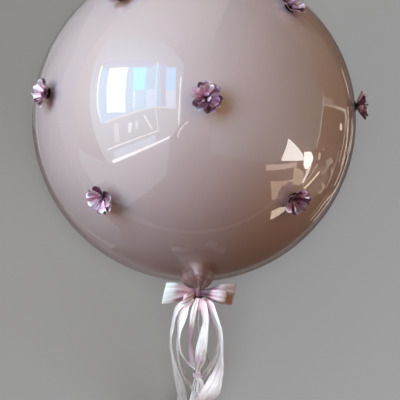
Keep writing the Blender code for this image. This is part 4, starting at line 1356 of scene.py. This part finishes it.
def addLamp(name, kind, place, away, power, colour, lit, inGloss=False):
    # a lamp that lights only one collection
    bpy.ops.object.light_add(type=kind, location=place)
    made = bpy.context.object
    made.name = name
    made.rotation_mode = "QUATERNION"
    made.rotation_quaternion = away.to_track_quat("Z", "Y")
    made.data.energy = power
    made.data.color = colour
    made.visible_glossy = inGloss
    made.visible_transmission = inGloss
    made.light_linking.receiver_collection = lit
    return made


balloonLights = bpy.data.collections.new("notTheFloor")
balloonLights.objects.link(floor)
balloonLights.collection_objects[0].light_linking.link_state = "EXCLUDE"
for name, values in lamps.items():
    away = Vector(values["direction"]).normalized()
    place = centre + away * values["distance"]
    lamp = addLamp(name, "AREA", place, away, values["power"], values["colour"], balloonLights)
    lamp.data.shape = "RECTANGLE"
    lamp.data.size, lamp.data.size_y = values["size"]

# the ribbon ends catch a little more light from the front
ribbonLight = {"place": Vector((-0.7, -0.3, 2.3)), "power": 42.0, "colour": (0.97, 0.99, 1.0)}
ribbonLightSize = 0.9
satinPieces = bpy.data.collections.new("satinPieces")
for piece in [lowerTie] + [made[0] for made in madeRibbons.values()]:
    satinPieces.objects.link(piece)
aim = ribbonLight["place"] - knot
lamp = addLamp("ribbonLight", "AREA", away=aim, lit=satinPieces, inGloss=True, **ribbonLight)
lamp.data.size = ribbonLightSize

# the floor has soft light of its own: most from straight above, and some from the lower right
floorLights = {
    "above": {"name": "floorAbove", "kind": "SUN", "place": (0.0, -0.3, 3.0), "power": 1.34},
    "side": {"name": "floorSide", "kind": "AREA", "place": Vector((1.5, -1.5, 1.5)), "power": 23.0},
    "colour": (0.885, 0.96, 1.0),
    "tilt": 6.0,
    "softness": 25.0,
    "size": 1.6,
}
onlyFloor = bpy.data.collections.new("onlyTheFloor")
onlyFloor.objects.link(floor)
floorTint = {"colour": floorLights["colour"], "lit": onlyFloor}
leaning = Matrix.Rotation(math.radians(floorLights["tilt"]), 3, "X") @ Vector((0, 0, 1))
lamp = addLamp(away=leaning, **floorLights["above"], **floorTint)
lamp.data.angle = math.radians(floorLights["softness"])
lamp = addLamp(away=floorLights["side"]["place"], **floorLights["side"], **floorTint)
lamp.data.size = floorLights["size"]

# the room round the balloon: dim and warm, brighter on two sides
roomValues = {
    "base": (0.076, 0.010, 0.004),
    "glows": (((-1.0, 0.3, 0.2), (0.33, 0.33, 0.08)), ((0.0, 1.0, 0.2), (0.46, 0.53, 0.454))),
    "focus": 4.0,
}
world = bpy.data.worlds.new("studioWorld")
bpy.context.scene.world = world
world.use_nodes = True
tree = world.node_tree
spot = node(tree, "ShaderNodeTexCoord", (-1400, 0)).outputs["Generated"]
total = node(tree, "ShaderNodeRGB", (-500, 300)).outputs[0]
total.default_value = (*roomValues["base"], 1)
vectors = {"kind": "ShaderNodeVectorMath"}
for number, (direction, colour) in enumerate(roomValues["glows"]):
    level = -300 * number
    facing = maths(tree, "DOT_PRODUCT", (-1200, level), spot, Vector(direction).normalized(), **vectors)
    positive = maths(tree, "MAXIMUM", (-1000, level), facing, 0.0)
    power = maths(tree, "POWER", (-800, level), positive, roomValues["focus"])
    scaled = maths(tree, "SCALE", (-600, level), colour, Scale=power, **vectors)
    total = maths(tree, "ADD", (-300, level), total, scaled, **vectors)
plug(tree, total, tree.nodes["Background"].inputs["Color"])

bpy.context.scene.view_settings.view_transform = "Standard"
print("lights placed")
